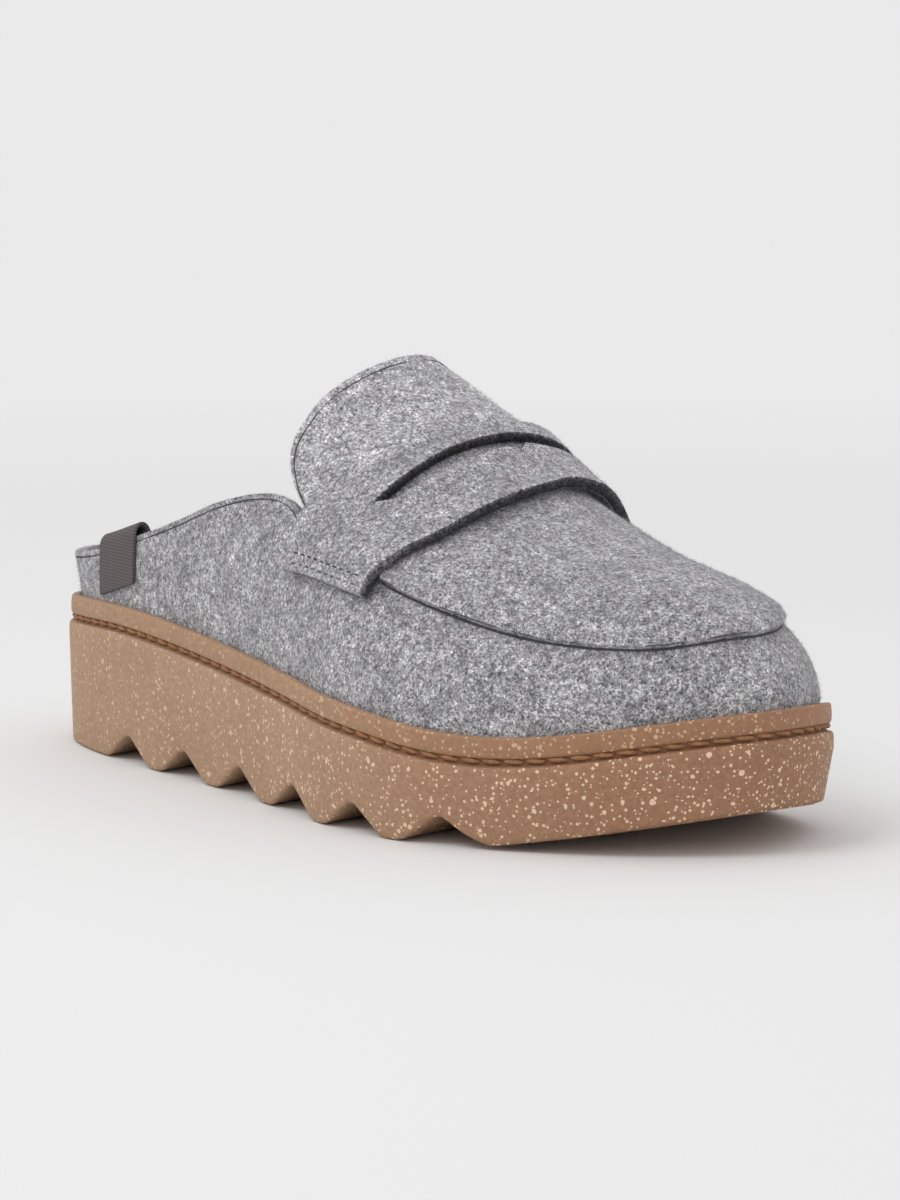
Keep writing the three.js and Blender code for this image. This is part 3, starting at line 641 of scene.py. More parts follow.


# Tan rubber with cream specks, turning darker and redder toward the toe as painted warm light, and a
# brown stitching groove darkened as painted shade
def sole_material():
    mat, nodes, links, shader, place = new_material("speckled_rubber")
    cloud = noise(nodes, links, place, 28, detail=3)
    grain = noise(nodes, links, place, 900, detail=2)
    along = nodes.new("ShaderNodeSeparateXYZ")
    links.new(place, along.inputs[0])

    def toward_toe(at_heel, at_toe, start=-0.10):
        node = nodes.new("ShaderNodeMapRange")
        links.new(along.outputs["X"], node.inputs["Value"])
        node.inputs["From Min"].default_value = start
        node.inputs["From Max"].default_value = 0.11
        node.inputs["To Min"].default_value = at_heel
        node.inputs["To Max"].default_value = at_toe
        return node.outputs[0]

    # Painted light: darker and redder toward the toe, standing in for warm bounce light on the front of
    # the sole
    warm_light_toward_toe = toward_toe(0.0, 1.0, start=0.01)
    base = mix_color(nodes, links, "MIX", warm_light_toward_toe, (0.42, 0.266, 0.168), (0.338, 0.176, 0.10))
    soft = ramp(nodes, links, cloud.outputs["Fac"], [(0.3, (0.93,) * 3), (0.7, (1.06,) * 3)])
    fine = ramp(nodes, links, grain.outputs["Fac"], [(0.35, (0.88,) * 3), (0.65, (1.10,) * 3)])
    base = mix_color(nodes, links, "MULTIPLY", 1.0, base, soft)
    base = mix_color(nodes, links, "MULTIPLY", 1.0, base, fine)
    zone = nodes.new("ShaderNodeAttribute")
    zone.attribute_name = "zone"
    zone_split = nodes.new("ShaderNodeSeparateColor")
    links.new(zone.outputs["Color"], zone_split.inputs["Color"])
    groove, band = zone_split.outputs["Red"], zone_split.outputs["Green"]
    warm = math_node(nodes, links, "MULTIPLY", band, 0.30)
    base = mix_color(nodes, links, "MIX", warm, base, (0.33, 0.165, 0.08))
    specks = None
    for scale, radius, heel, toe in SPECK_LAYERS:
        layer = speck_layer(nodes, links, place, scale, radius, toward_toe(heel, toe))
        specks = layer if specks is None else math_node(nodes, links, "MAXIMUM", specks, layer)
    thin = math_node(nodes, links, "SUBTRACT", 1.0, math_node(nodes, links, "MULTIPLY", band, 0.45))
    specks = math_node(nodes, links, "MULTIPLY", specks, thin)
    specks = math_node(nodes, links, "MULTIPLY", specks, toward_toe(0.55, 0.9))
    color = mix_color(nodes, links, "MIX", specks, base, (0.86, 0.64, 0.45))
    # Painted shade: the recessed stitching groove is darkened to deep brown
    dark = math_node(nodes, links, "MULTIPLY", groove, 0.9)
    color = mix_color(nodes, links, "MIX", dark, color, (0.19, 0.083, 0.036))
    relief = bump(nodes, links, grain.outputs["Fac"], 0.0002, 0.35)
    set_surface(links, shader, color, 0.62, 0.35, relief)
    return mat


def plain_material(name, color, roughness, scale=900, relief=0.4):
    mat, nodes, links, shader, place = new_material(name)
    grain = noise(nodes, links, place, scale, detail=2)
    stops = [(0.3, tuple(0.75 * v for v in color)), (0.7, tuple(1.2 * v for v in color))]
    normal = bump(nodes, links, grain.outputs["Fac"], 0.0002, relief)
    set_surface(links, shader, ramp(nodes, links, grain.outputs["Fac"], stops), roughness, 0.2, normal)
    return mat


# Woven ribbon: fine crossing threads on a dark brown-grey ground
def ribbon_material():
    mat, nodes, links, shader, place = new_material("ribbon_weave")
    threads = []
    for direction in ("X", "Z"):
        wave = nodes.new("ShaderNodeTexWave")
        wave.bands_direction = direction
        wave.inputs["Scale"].default_value = 380
        wave.inputs["Distortion"].default_value = 0.4
        links.new(place, wave.inputs["Vector"])
        threads.append(wave.outputs["Fac"])
    weave = math_node(nodes, links, "MULTIPLY", *threads)
    color = ramp(nodes, links, weave, [(0.0, (0.075, 0.062, 0.062)), (1.0, (0.16, 0.135, 0.135))])
    set_surface(links, shader, color, 0.75, 0.5, bump(nodes, links, weave, 0.0002, 0.5))
    return mat


felt = felt_material("wool_felt")
# Painted light: the tongue's felt is the same felt made brighter, standing in for the stronger light on
# the raised tongue
lit_tongue_felt = felt_material("wool_felt_tongue_lit", shade=1.23)
felt_edge = cut_felt_shade_material()
lining = felt_material("felt_lining", shade=0.9)
fuzz = fuzz_material("felt_fibre", (0.36, 0.36, 0.39))
# Brighter fibres on the tongue, the same painted light
lit_tongue_fuzz = fuzz_material("felt_tongue_fibre_lit", (0.43, 0.425, 0.45))
# Dark fibres for the strap's raw edges, carrying the same painted shade as the edge
shaded_edge_fuzz = fuzz_material("felt_edge_fibre_shaded", (0.085, 0.085, 0.09))
# Near-black line for the collar's felt layer, stitches and the tongue's seam, also used for painted
# shadow lines under the apron's edge and the strap's ends
seam_and_shadow = plain_material("seam_and_shadow_line", (0.075, 0.075, 0.082), 0.95)
sole_thread = plain_material("sole_thread", (0.34, 0.165, 0.078), 0.8)
rubber = sole_material()
ribbon = ribbon_material()


def steps(low, high, count):
    return np.linspace(low, high, count)


# The platform: tread, side, stitching groove, rim and pocket in one closed skin
def make_sole():
    half = 420
    loop = both_sides(steps(0, PI, half))
    count = len(loop)
    groove_end = RIM_BAND + GROOVE_HEIGHT
    undercut = TOE_UNDERCUT * smooth(station_of(loop), 0.6, 1)
    rows, zones = [], []

    def tread_ring(inset, lift):
        plan = outline_inset(loop, inset + undercut)
        spine = outline_inset(loop, 0)
        height = np.maximum(tread_height(plan[:, 0], plan[:, 1]), bottom_height(spine[:, 0]))
        rows.append(np.column_stack([plan, height + lift]))
        zones.append((0, 0))

    def rim_ring(depth, out, zone=(0, 0)):
        plan = outline_inset(loop, -out)
        rows.append(np.column_stack([plan, rim_height(plan[:, 0]) - depth]))
        zones.append(zone)

    for angle in steps(0, PI / 2, 4):
        tread_ring(TREAD_ROUND * (1 - math.sin(angle)), TREAD_ROUND * (1 - math.cos(angle)))
    base = rows[-1]
    full = outline_inset(loop, -SIDE_BULGE)
    full = np.column_stack([full, rim_height(full[:, 0]) - groove_end - SIDE_FULL])
    for share in steps(0, 1, 8)[1:]:
        rows.append(base + (full - base) * share)
        zones.append((0, 0))
    rim_ring(groove_end + 1.6, SIDE_BULGE)
    rim_ring(groove_end + 0.5, SIDE_BULGE * 0.9)
    rim_ring(groove_end + 0.1, SIDE_BULGE * 0.55)
    rim_ring(groove_end - 0.2, 0, (0.6, 0))
    rim_ring(groove_end - 0.45, -GROOVE_DEPTH * 0.8, (1, 0))
    rim_ring(groove_end - 0.8, -GROOVE_DEPTH, (1, 0))
    rim_ring(RIM_BAND + 0.8, -GROOVE_DEPTH, (1, 0))
    rim_ring(RIM_BAND + 0.45, -GROOVE_DEPTH * 0.8, (1, 0))
    rim_ring(RIM_BAND + 0.2, -0.25, (0.6, 0.5))
    rim_ring(RIM_BAND - 0.1, 0, (0, 1))
    rim_ring(RIM_BAND - 0.6, 0.12, (0, 1))
    rim_ring(2.4, 0.15, (0, 1))
    for angle in steps(0, PI / 2, 4):
        rim_ring(RIM_ROUND * (1 - math.sin(angle)), -RIM_ROUND * (1 - math.cos(angle)), (0, 1))
    rim_ring(0, -RIM_WALL + 0.5, (0, 1))
    rim_ring(0.15, -RIM_WALL + 0.1, (0, 1))
    rim_ring(0.5, -RIM_WALL, (0, 1))
    rim_ring(POCKET_DEPTH, -RIM_WALL, (0, 1))

    grid = np.stack(rows, 1)
    per = grid.shape[1]
    faces = grid_faces(count, per, 0, ring=True)
    points = [grid.reshape(-1, 3)]
    start = count * per
    across = 22

    def cap(row, flip, tread):
        nonlocal start
        first = grid[:half, row]
        other = np.concatenate([grid[:1, row], grid[half - 1:, row][::-1]])
        share = steps(0, 1, across)[None, :, None]
        flat = first[:, None] + (other[:, None] - first[:, None]) * share
        if tread:
            drop = np.maximum(tread_height(flat[..., 0], flat[..., 1]), bottom_height(flat[..., 0]))
            inner = (share[..., 0] > 0) & (share[..., 0] < 1)
            flat[..., 2] = np.where(inner, drop, flat[..., 2])
        points.append(flat.reshape(-1, 3))
        faces.extend(grid_faces(half, across, start, flip=flip))
        start += half * across

    cap(0, False, True)
    cap(per - 1, True, False)
    obj = add_mesh("sole_rubber", np.concatenate(points), faces, ["sole"])
    # Per-vertex zones: red marks the stitching groove, which the material darkens as painted shade; green
    # marks the rim band
    layer = obj.data.color_attributes.new("zone", "FLOAT_COLOR", "POINT")
    colors = np.zeros((len(obj.data.vertices), 4), np.float32)
    ring_zones = np.array([(*z, 0, 1) for z in zones], np.float32)
    colors[: count * per] = np.tile(ring_zones, (count, 1))
    layer.data.foreach_set("color", colors.ravel())
    weld(obj)
    obj.data.materials.append(rubber)


# Length along a row of points
def lengths(points):
    gaps = np.linalg.norm(np.diff(points, axis=0), axis=1)
    return np.concatenate([[0], np.cumsum(gaps)])


def resample(points, where):
    along = lengths(points)
    return np.column_stack([np.interp(where, along, points[:, k]) for k in range(3)])


# Short rods laid along a path, each one a stitch that dives at its two ends
def stitches(name, points, outward, pitch, length, radius, depth, material, slant=0.0):
    sides = 6
    total = lengths(points)[-1]
    count = max(int(total / pitch), 1)
    verts, faces = [], []
    ring_count = 7
    along_all = lengths(points)
    for k in range(count):
        start = (k + 0.5) * total / count - length / 2
        spots = start + length * steps(0, 1, ring_count)
        centre = resample(points, spots)
        out = np.column_stack([np.interp(spots, along_all, outward[:, c]) for c in range(3)])
        out /= np.linalg.norm(out, axis=1, keepdims=True)
        along = np.gradient(centre, axis=0)
        along /= np.linalg.norm(along, axis=1, keepdims=True)
        side = np.cross(along, out)
        centre = centre + side * (slant * (steps(0, 1, ring_count) - 0.5))[:, None]
        arch = np.sin(PI * steps(0, 1, ring_count))
        lift = (arch**0.5 - 1) * depth
        thick = radius * (0.55 + 0.45 * arch**0.5)
        base = len(verts)
        for i in range(ring_count):
            for s in range(sides):
                angle = 2 * PI * s / sides
                offset = out[i] * math.cos(angle) + side[i] * math.sin(angle)
                verts.append(centre[i] + out[i] * lift[i] + offset * thick[i])
        for i in range(ring_count - 1):
            for s in range(sides):
                a = base + i * sides + s
                b = base + i * sides + (s + 1) % sides
                faces.append((a, b, b + sides, a + sides))
        faces.append(tuple(base + s for s in range(sides))[::-1])
        faces.append(tuple(base + (ring_count - 1) * sides + s for s in range(sides)))
    obj = add_mesh(name, np.array(verts), faces)
    obj.data.materials.append(material)


# A thin continuous line of thread or glue along a path
def seam(name, points, outward, radius, material, sides=5):
    along = np.gradient(points, axis=0)
    along /= np.linalg.norm(along, axis=1, keepdims=True)
    out = outward / np.linalg.norm(outward, axis=1, keepdims=True)
    side = np.cross(along, out)
    angles = 2 * PI * np.arange(sides) / sides
    rings = (
        points[:, None]
        + radius * np.cos(angles)[None, :, None] * out[:, None]
        + radius * np.sin(angles)[None, :, None] * side[:, None]
    )
    count = len(points)
    faces = []
    for i in range(count - 1):
        a, b = i * sides, (i + 1) * sides
        for s in range(sides):
            t = (s + 1) % sides
            faces.append((a + s, b + s, b + t, a + t))
    faces.append(tuple(range(sides)))
    faces.append(tuple((count - 1) * sides + s for s in range(sides))[::-1])
    obj = add_mesh(name, rings.reshape(-1, 3), faces)
    obj.data.materials.append(material)


def make_sole_stitches():
    turns = steps(0, 2 * PI, 1400)
    inset = GROOVE_DEPTH - 0.45
    plan = outline_inset(turns, inset)
    outer = outline_inset(turns, inset - 1)
    middle = RIM_BAND + GROOVE_HEIGHT / 2 - 0.3
    path = np.column_stack([plan, rim_height(plan[:, 0]) - middle])
    outward = np.column_stack([outer - plan, np.zeros(len(turns))])
    stitches("sole_stitches", path, outward, 5.6, 5.3, 0.60, 0.6, sole_thread, slant=0.45)


def make_footbed():
    loop = both_sides(steps(0, PI, 160))
    count = len(loop)
    inset = RIM_WALL + FIT + FELT + FIT
    floor = POCKET_DEPTH - FIT
    top = floor - FOOTBED_THICKNESS
    edge = outline_inset(loop, inset)
    opposite = outline_inset(2 * PI - loop, inset)
    middle = (edge[:, 1] + opposite[:, 1]) / 2
    end = np.clip(edge[:, 0], 0.13 * SOLE_LENGTH, 0.85 * SOLE_LENGTH)
    rows = [np.column_stack([edge, rim_height(edge[:, 0]) - floor])]
    for share in (1.0, 0.985, 0.95, 0.85, 0.72, 0.58, 0.44, 0.30, 0.16, 0.0):
        x = end + (edge[:, 0] - end) * share
        y = middle + (edge[:, 1] - middle) * share
        cup = HEEL_CUP * (1 - smooth(edge[:, 0], 0, SOLE_LENGTH / 2))
        drop = 0.5 if share == 1.0 else 0
        rows.append(np.column_stack([x, y, rim_height(x) - top - drop + cup * (share**2 - 1)]))
    grid = np.stack(rows, 1)
    faces = grid_faces(count, grid.shape[1], 0, ring=True)
    obj = add_mesh("footbed_felt", grid.reshape(-1, 3), faces, ["footbed"])
    weld(obj)
    obj.data.materials.append(lining)
    swell(obj, 0.5, 14)


def upper_turns():
    step = PI / 230
    turns = np.arange(0, PI + step / 2, step)
    named = turn_of([THROAT_FRONT, (THROAT_FRONT + THROAT_END) / 2, THROAT_END])
    clear = np.min(np.abs(turns[:, None] - named[None]), 1) > step / 3
    return both_sides(np.sort(np.concatenate([turns[clear], named])))


def make_upper():
    turns = upper_turns()
    top = upper_top(turns)
    share = np.concatenate([steps(0, 0.9, 26), steps(0.9, 1, 6)[1:]])
    arc = top[:, None] * share[None]
    foot = np.full((len(turns), 1), -(POCKET_DEPTH - FIT))
    arc = np.concatenate([foot, foot / 2, arc], 1)
    turn = np.broadcast_to(turns[:, None], arc.shape)
    outer = last_offset(turn, arc, 0)
    inner = last_offset(turn, arc, -FELT)
    closed = station_of(turns) >= THROAT_END - 1e-6
    obj = sheet("upper_felt", outer, inner, ["upper"], ring=True, closed_top=closed)
    obj.data.materials.append(felt)
    soften(obj, 0.9)
    swell(obj, 0.5, 16)
    return obj


# The felt's middle layer shows as a dark line just under the collar's edge
def make_collar_line():
    front = turn_of(0.50)
    turns = np.concatenate([2 * PI - steps(front, 0, 260), steps(0, front, 260)[1:]])
    height = collar_height(turns)
    arc = arc_at_height(turns, height - 1.5)
    path = last_offset(turns, arc, -0.02)
    seam("collar_line", path, last_normal(turns, arc), 0.2, seam_and_shadow)


# Turns round the toe along the apron's edge, their stations, and the edge's arcs
def apron_edge(count):
    rear = turn_of(APRON_REAR)
    turns = np.concatenate([steps(rear, PI, count), 2 * PI - steps(PI, rear, count)[1:]])
    at = station_of(turns)
    return turns, at, np.where(is_lateral(turns), apron_lateral(at), apron_medial(at))


# Beside the strap a soft roll and a trough run along the apron's edge, and fade toward the toe
def make_apron():
    turns, at, edge = apron_edge(190)
    share = steps(0, 1, 56) ** 1.6
    arc = edge[:, None] + (1 - edge[:, None]) * share[None]
    turn = np.broadcast_to(turns[:, None], arc.shape)
    outer = last_offset(turn, arc, FIT + APRON_FELT)
    gaps = np.linalg.norm(np.diff(outer, axis=1), axis=2)
    inward = np.concatenate([np.zeros((len(turns), 1)), np.cumsum(gaps, 1)], 1)
    fade = (1 - smooth(at, 0.66, 0.80))[:, None]
    roll = 0.45 * np.exp(-(((inward - 1.6) / 1.1) ** 2)) - 0.6 * np.exp(-(((inward - 4.4) / 1.2) ** 2))
    thin = -0.7 * np.exp(-((inward / 1.0) ** 2))
    outer = last_offset(turn, arc, FIT + APRON_FELT + fade * roll + thin)
    inner = last_offset(turn, arc, FIT)
    obj = sheet("apron_felt", outer, inner, ["apron"], closed_top=np.ones(len(turns), bool))
    obj.data.materials.append(felt)
    soften(obj, 0.6)
    swell(obj, 0.45, 15)
    return obj


# Where the apron is sewn on, a dark line under its edge is painted shadow
def make_apron_seam_shadow():
    turns, _, edge = apron_edge(220)
    path = last_offset(turns, edge - 0.004, 0.05)
    seam("apron_seam_shadow", path, last_normal(turns, edge), 0.34, seam_and_shadow)


# The strap's end edges rise from rear to front, and the tilt fades out toward the ridge
def tilted_arc(across, along):
    arc = strap_arc(across)
    at_end = 1 - smooth(arc, STRAP_HIGH, STRAP_ARCH)
    return np.minimum(arc + STRAP_TILT * (along - 0.5) * at_end, 1)


def strap_under(across, along):
    arc = tilted_arc(across, along)
    over = smooth(arc, STRAP_LOW, STRAP_HIGH)
    return FIT + (APRON_FELT + FIT) * over + STRAP_LIFT * along * smooth(arc, STRAP_HIGH, STRAP_ARCH)


def strap_point(across, along, out):
    at = strap_rear(across) + (strap_front(across) - strap_rear(across)) * along
    under = strap_under(across, along)
    return last_offset(turn_at(at, across < 0.5), tilted_arc(across, along), under + out)


# How far along the strap's width the slot's two edges lie
def slot_edges(across):
    rear, front = strap_rear(across), strap_front(across)
    start = np.interp(across, SLOT["across"], SLOT["rear"])
    end = np.interp(across, SLOT["across"], SLOT["front"])
    low = (start - rear) / (front - rear)
    high = (end - rear) / (front - rear)
    inside = (across > SLOT["across"][0]) & (across < SLOT["across"][-1])
    middle = (low + high) / 2
    return np.where(inside, low, middle), np.where(inside, high, middle), inside


# The strap is a rear band and a front band, joined beyond the slot's two ends
def make_strap():
    across = np.unique(np.concatenate([steps(0, 1, 141), SLOT["across"]]))
    low, high, inside = slot_edges(across)
    rear_rows = low[:, None] * steps(0, 1, 12)[None]
    front_rows = high[:, None] + (1 - high[:, None]) * steps(0, 1, 12)[None]
    columns, rows = len(across), 12
    count = columns * rows
    blocks, faces = [], []
    wide = np.broadcast_to(across[:, None], rear_rows.shape)
    for along in (rear_rows, front_rows):
        blocks.append(strap_point(wide, along, STRAP_FELT))
        blocks.append(strap_point(wide, along, 0))
    edge_faces = []
    for band in (0, 1):
        top, under = 2 * band * count, (2 * band + 1) * count
        faces += grid_faces(columns, rows, top, flip=True) + grid_faces(columns, rows, under)
        for i in range(columns - 1):
            a, b = i * rows, (i + 1) * rows
            outside = 0 if band == 0 else rows - 1
            hole = rows - 1 if band == 0 else 0
            edge_faces.append(len(faces))
            wall = (top + a + outside, top + b + outside, under + b + outside, under + a + outside)
            faces.append(wall if band == 0 else wall[::-1])
            if inside[i] or inside[i + 1]:
                edge_faces.append(len(faces))
                wall = (top + a + hole, top + b + hole, under + b + hole, under + a + hole)
                faces.append(wall[::-1] if band == 0 else wall)
        for i, flip in ((0, False), (columns - 1, True)):
            for j in range(rows - 1):
                a = i * rows + j
                wall = (top + a, top + a + 1, under + a + 1, under + a)
                faces.append(wall if not flip else wall[::-1])
    points = np.concatenate([b.reshape(-1, 3) for b in blocks])
    obj = add_mesh("strap_felt", points, faces, ["strap"])
    obj.data.materials.append(felt)
    obj.data.materials.append(felt_edge)
    for index in edge_faces:
        obj.data.polygons[index].material_index = 1
    # Painted-shade mask for the raw edges: red 0 on the top face and 1 on the underside, green 1 toward
    # the strap's ends where the painted shade is lighter
    depth = np.repeat([0, 1, 0, 1], count)
    ends = np.tile(np.repeat(1 - smooth(strap_arc(across), 0.40, 0.52), rows), 4)
    zones = np.column_stack([depth, ends, np.zeros_like(ends), np.ones_like(ends)]).astype(np.float32)
    layer = obj.data.color_attributes.new("edge_shade", "FLOAT_COLOR", "POINT")
    layer.data.foreach_set("color", zones.ravel())
    weld(obj)
    soften(obj, 0.45)
    swell(obj, 0.3, 14)
    return obj


# Two rows of stitches fasten each end of the strap, above its lower edge, where a dark line is painted
# shadow
def make_strap_stitches():
    along = steps(0.06, 0.94, 60)
    for side, name in ((0, "lateral"), (1, "medial")):
        for row, (up, radius) in enumerate(((0.020, 0.18), (0.046, 0.25))):
            across = np.full(60, abs(side - up))
            path = strap_point(across, along, STRAP_FELT - 0.05)
            above = strap_point(across, along, STRAP_FELT + 1)
            label = f"strap_stitches_{name}_{row + 1}"
            stitches(label, path, above - path, 3.1, 2.7, radius, 0.25, seam_and_shadow)
        # Painted shadow: a dark line just under each strap end's lower edge
        across = np.full(60, abs(side - 0.002))
        path = strap_point(across, steps(0.02, 0.98, 60), -0.1)
        above = strap_point(across, steps(0.02, 0.98, 60), 1)
        seam(f"strap_end_line_{name}", path, above - path, 0.34, seam_and_shadow)


def tongue_point(side, along, out):
    at = tongue_rear(side) + (TONGUE_FRONT - tongue_rear(side)) * along
    arc = np.minimum(tongue_arc(side), 1)
    over = smooth(arc, TONGUE_IN, TONGUE_OUT)
    inside = -(FELT + FIT + TONGUE_FELT)
    base = inside + (FIT + APRON_FELT - TONGUE_FELT - inside) * over
    return last_offset(turn_at(at, side < 0), arc, base + out)


def make_tongue():
    side = np.concatenate([-1 + steps(0, 0.12, 6), steps(-0.88, 0.88, 110)[1:-1], 1 - steps(0.12, 0, 6)])
    along = np.concatenate([steps(0, 0.08, 5), steps(0.08, 1, 36)[1:]])
    wide, deep = np.meshgrid(side, along, indexing="ij")
    obj = sheet(
        "tongue_felt",
        tongue_point(wide, deep, TONGUE_FELT)[::-1],
        tongue_point(wide, deep, 0)[::-1],
        ["tongue"],
    )
    obj.data.materials.append(lit_tongue_felt)
    soften(obj, 0.8)
    swell(obj, 0.5, 15)
    return obj


def make_tongue_line():
    side = steps(-0.97, 0.97, 260)
    along = 1.9 / ((TONGUE_FRONT - tongue_rear(side)) * SOLE_LENGTH)
    path = tongue_point(side, along, TONGUE_FELT - 0.02)
    above = tongue_point(side, along, TONGUE_FELT + 1)
    seam("tongue_line", path, above - path, 0.2, seam_and_shadow)


# The ribbon goes up the outside, over the collar and down the inside
def make_label():
    at = (LABEL_FROM + LABEL_WIDTH * steps(0, 1, 25)) / SOLE_LENGTH
    turns = turn_at(at, True)
    top = upper_top(turns)
    height = last_point(turns, top)[:, 2]
    edge = last_offset(turns, top, -FELT / 2)
    sideways = last_normal(turns, top)

    def rows(out):
        made = []
        for drop in steps(LABEL_DROP, LABEL_DROP / 5, 12):
            made.append(last_offset(turns, arc_at_height(turns, height - drop), out))
        for angle in steps(0, PI, 15):
            point = edge + sideways * math.cos(angle) * (FELT / 2 + out)
            point[:, 2] += math.sin(angle) * (LABEL_STAND + out)
            made.append(point)
        for drop in steps(LABEL_INSIDE / 3, LABEL_INSIDE, 5):
            made.append(last_offset(turns, arc_at_height(turns, height - drop), -FELT - out))
        return np.stack(made, 1)

    obj = sheet("label_ribbon", rows(FIT + LABEL_RIBBON), rows(FIT), ["label"])
    obj.data.materials.append(ribbon)
    soften(obj, 0.2, segments=2)


# Short loose fibres, one thin triangle each, spread evenly over a piece's faces
def add_fuzz(obj, per_mm2, low, high, material, seed, lean=0.75, only=None):
    rng = np.random.default_rng(seed)
    evaluated = obj.evaluated_get(bpy.context.evaluated_depsgraph_get())
    mesh = evaluated.to_mesh()
    mesh.calc_loop_triangles()
    count = len(mesh.loop_triangles)
    corner = np.empty(count * 3, int)
    mesh.loop_triangles.foreach_get("vertices", corner)
    index = np.empty(count, int)
    mesh.loop_triangles.foreach_get("material_index", index)
    spots = np.empty(len(mesh.vertices) * 3)
    mesh.vertices.foreach_get("co", spots)
    spots = spots.reshape(-1, 3)
    evaluated.to_mesh_clear()
    a, b, c = (spots[corner.reshape(-1, 3)[:, k]] for k in range(3))
    normal = np.cross(b - a, c - a)
    area = np.linalg.norm(normal, axis=1) / 2
    normal /= np.maximum(area[:, None] * 2, 1e-15)
    if only is not None:
        area = area * (index == only)
    total = int(area.sum() * 1e6 * per_mm2)
    pick = rng.choice(count, total, p=area / area.sum())
    u, v = rng.random(total), rng.random(total)
    flip = u + v > 1
    u[flip], v[flip] = 1 - u[flip], 1 - v[flip]
    root = a[pick] + (b[pick] - a[pick]) * u[:, None] + (c[pick] - a[pick]) * v[:, None]
    wild = rng.normal(size=(total, 3))
    wild /= np.linalg.norm(wild, axis=1, keepdims=True)
    way = normal[pick] * (1 - lean) + wild * lean
    inward = (way * normal[pick]).sum(1) < 0
    way[inward] -= 2 * (way * normal[pick]).sum(1)[inward, None] * normal[pick][inward]
    way /= np.linalg.norm(way, axis=1, keepdims=True)
    reach = (low + (high - low) * rng.random(total) ** 2) * MM
    across = np.cross(way, wild[::-1])
    across /= np.maximum(np.linalg.norm(across, axis=1, keepdims=True), 1e-9)
    width = 0.07 * MM
    tip = root + way * reach[:, None]
    points = np.stack([root - across * width / 2, root + across * width / 2, tip], 1).reshape(-1, 3)
    mesh = bpy.data.meshes.new(obj.name + "_fuzz")
    faces = np.arange(3 * total).reshape(-1, 3)
    mesh.from_pydata(points.tolist(), [], faces.tolist())
    piece = bpy.data.objects.new(mesh.name + (f"_{only}" if only else ""), mesh)
    bpy.context.scene.collection.objects.link(piece)
    piece.data.materials.append(material)
    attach(piece, "root")


make_sole()
make_sole_stitches()
make_footbed()
upper = make_upper()
make_collar_line()
apron = make_apron()
make_apron_seam_shadow()
strap = make_strap()
make_strap_stitches()
tongue = make_tongue()
make_tongue_line()
make_label()

bpy.context.view_layer.update()
add_fuzz(upper, 2.8, 0.4, 1.5, fuzz, seed=11)
add_fuzz(apron, 3.4, 0.4, 1.5, fuzz, seed=12)
add_fuzz(tongue, 3.4, 0.4, 1.6, lit_tongue_fuzz, seed=13)
add_fuzz(strap, 3.4, 0.4, 1.5, fuzz, seed=14, only=0)
# The dark fibres on the raw edges are part of their painted shade
add_fuzz(strap, 12, 0.4, 1.3, shaded_edge_fuzz, seed=15, only=1)

# Camera: the photograph's place, turned to look at the slipper's middle
VIEW_YAW = math.radians(49.02)
VIEW_PITCH = math.radians(3.41)
VIEW_DISTANCE = 1227.5
VIEW_FOCAL = 2879.1
TARGET = np.array([131.0, 0, 25.0])
TARGET_PIXEL = (355.0, 848.8)
PHOTO_SIZE = (900, 1200)
SENSOR = 36
SLIPPER_PIXEL = (377, 795)
FRAME_SHARE = 1.68

right = np.array([math.cos(VIEW_YAW), math.sin(VIEW_YAW), 0])
forward = np.array([
    -math.sin(VIEW_YAW) * math.cos(VIEW_PITCH),
    math.cos(VIEW_YAW) * math.cos(VIEW_PITCH),
    -math.sin(VIEW_PITCH),
])
upward = np.cross(right, forward)


def pixel_ray(u, v):
    across = (u - PHOTO_SIZE[0] / 2) / VIEW_FOCAL
    down = (v - PHOTO_SIZE[1] / 2) / VIEW_FOCAL
    return forward + right * across - upward * down


def make_camera():
    eye = TARGET - VIEW_DISTANCE * pixel_ray(*TARGET_PIXEL)
    look = pixel_ray(*SLIPPER_PIXEL)
    look /= np.linalg.norm(look)
    side = np.cross(look, (0, 0, 1))
    side /= np.linalg.norm(side)
    over = np.cross(side, look)
    data = bpy.data.cameras.new("camera")
    data.sensor_width = SENSOR
    data.lens = SENSOR * VIEW_FOCAL * FRAME_SHARE / PHOTO_SIZE[1]
    data.clip_start = 0.05
    data.clip_end = 60
    camera = bpy.data.objects.new("camera", data)
    place = Matrix([[*row] for row in np.column_stack([side, over, -look])]).to_4x4()
    place.translation = Vector(to_frame(eye))
    camera.matrix_world = place
    bpy.context.scene.collection.objects.link(camera)
    bpy.context.scene.camera = camera


# A pale floor that fades into the backdrop's own grey, so no horizon shows
BACKDROP = 0.822
FLOOR_DROP = 0.2


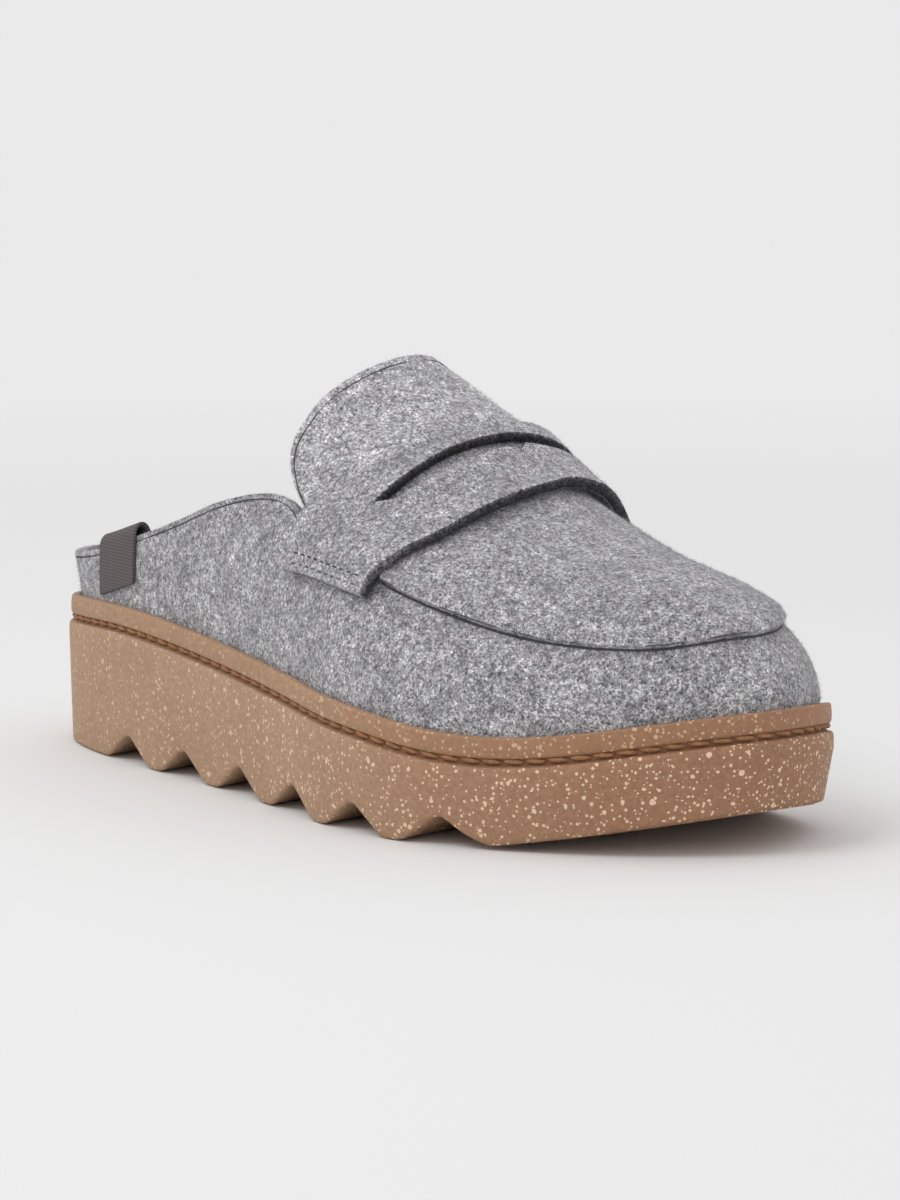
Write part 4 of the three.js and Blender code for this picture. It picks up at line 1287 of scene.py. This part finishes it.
def make_floor():
    mesh = bpy.data.meshes.new("floor")
    half = 20
    corners = [(-half, -half), (half, -half), (half, half), (-half, half)]
    mesh.from_pydata([(*corner, -FLOOR_DROP * MM) for corner in corners], [], [(0, 1, 2, 3)])
    floor = bpy.data.objects.new("floor", mesh)
    bpy.context.scene.collection.objects.link(floor)
    mat, nodes, links, shader, place = new_material("floor_paper")
    shader.inputs["Base Color"].default_value = (0.82, 0.82, 0.82, 1)
    shader.inputs["Roughness"].default_value = 0.9
    shader.inputs["Specular IOR Level"].default_value = 0.1
    glow = nodes.new("ShaderNodeEmission")
    glow.inputs["Color"].default_value = (BACKDROP,) * 3 + (1,)
    blend = nodes.new("ShaderNodeMixShader")
    far = nodes.new("ShaderNodeVectorMath")
    far.operation = "LENGTH"
    links.new(place, far.inputs[0])
    fade = nodes.new("ShaderNodeMapRange")
    fade.interpolation_type = "SMOOTHSTEP"
    fade.inputs["From Min"].default_value = 0.35
    fade.inputs["From Max"].default_value = 1.3
    links.new(far.outputs["Value"], fade.inputs["Value"])
    links.new(fade.outputs[0], blend.inputs["Fac"])
    links.new(shader.outputs[0], blend.inputs[1])
    links.new(glow.outputs[0], blend.inputs[2])
    links.new(blend.outputs[0], nodes["Material Output"].inputs["Surface"])
    mesh.materials.append(mat)


def make_light(name, place, aim, size, power):
    data = bpy.data.lights.new(name, "AREA")
    data.shape = "DISK"
    data.size = size
    data.energy = power
    lamp = bpy.data.objects.new(name, data)
    lamp.location = place
    lamp.rotation_mode = "QUATERNION"
    lamp.rotation_quaternion = (Vector(aim) - Vector(place)).to_track_quat("-Z", "Y")
    bpy.context.scene.collection.objects.link(lamp)


def make_lights():
    world = bpy.data.worlds.new("studio")
    world.use_nodes = True
    world.node_tree.nodes["Background"].inputs["Color"].default_value = (BACKDROP,) * 3 + (1,)
    world.node_tree.nodes["Background"].inputs["Strength"].default_value = 1.0
    bpy.context.scene.world = world
    key = -right * 0.9 - forward * 0.7 + np.array([0, 0, 1.5])
    make_light("key", tuple(key), (0, 0, 0.04), 0.9, 8)
    make_light("top", (-0.08, -0.05, 0.50), (-0.04, 0, 0.06), 0.3, 0.12)


make_camera()
make_floor()
make_lights()
bpy.context.scene.view_settings.view_transform = "Standard"
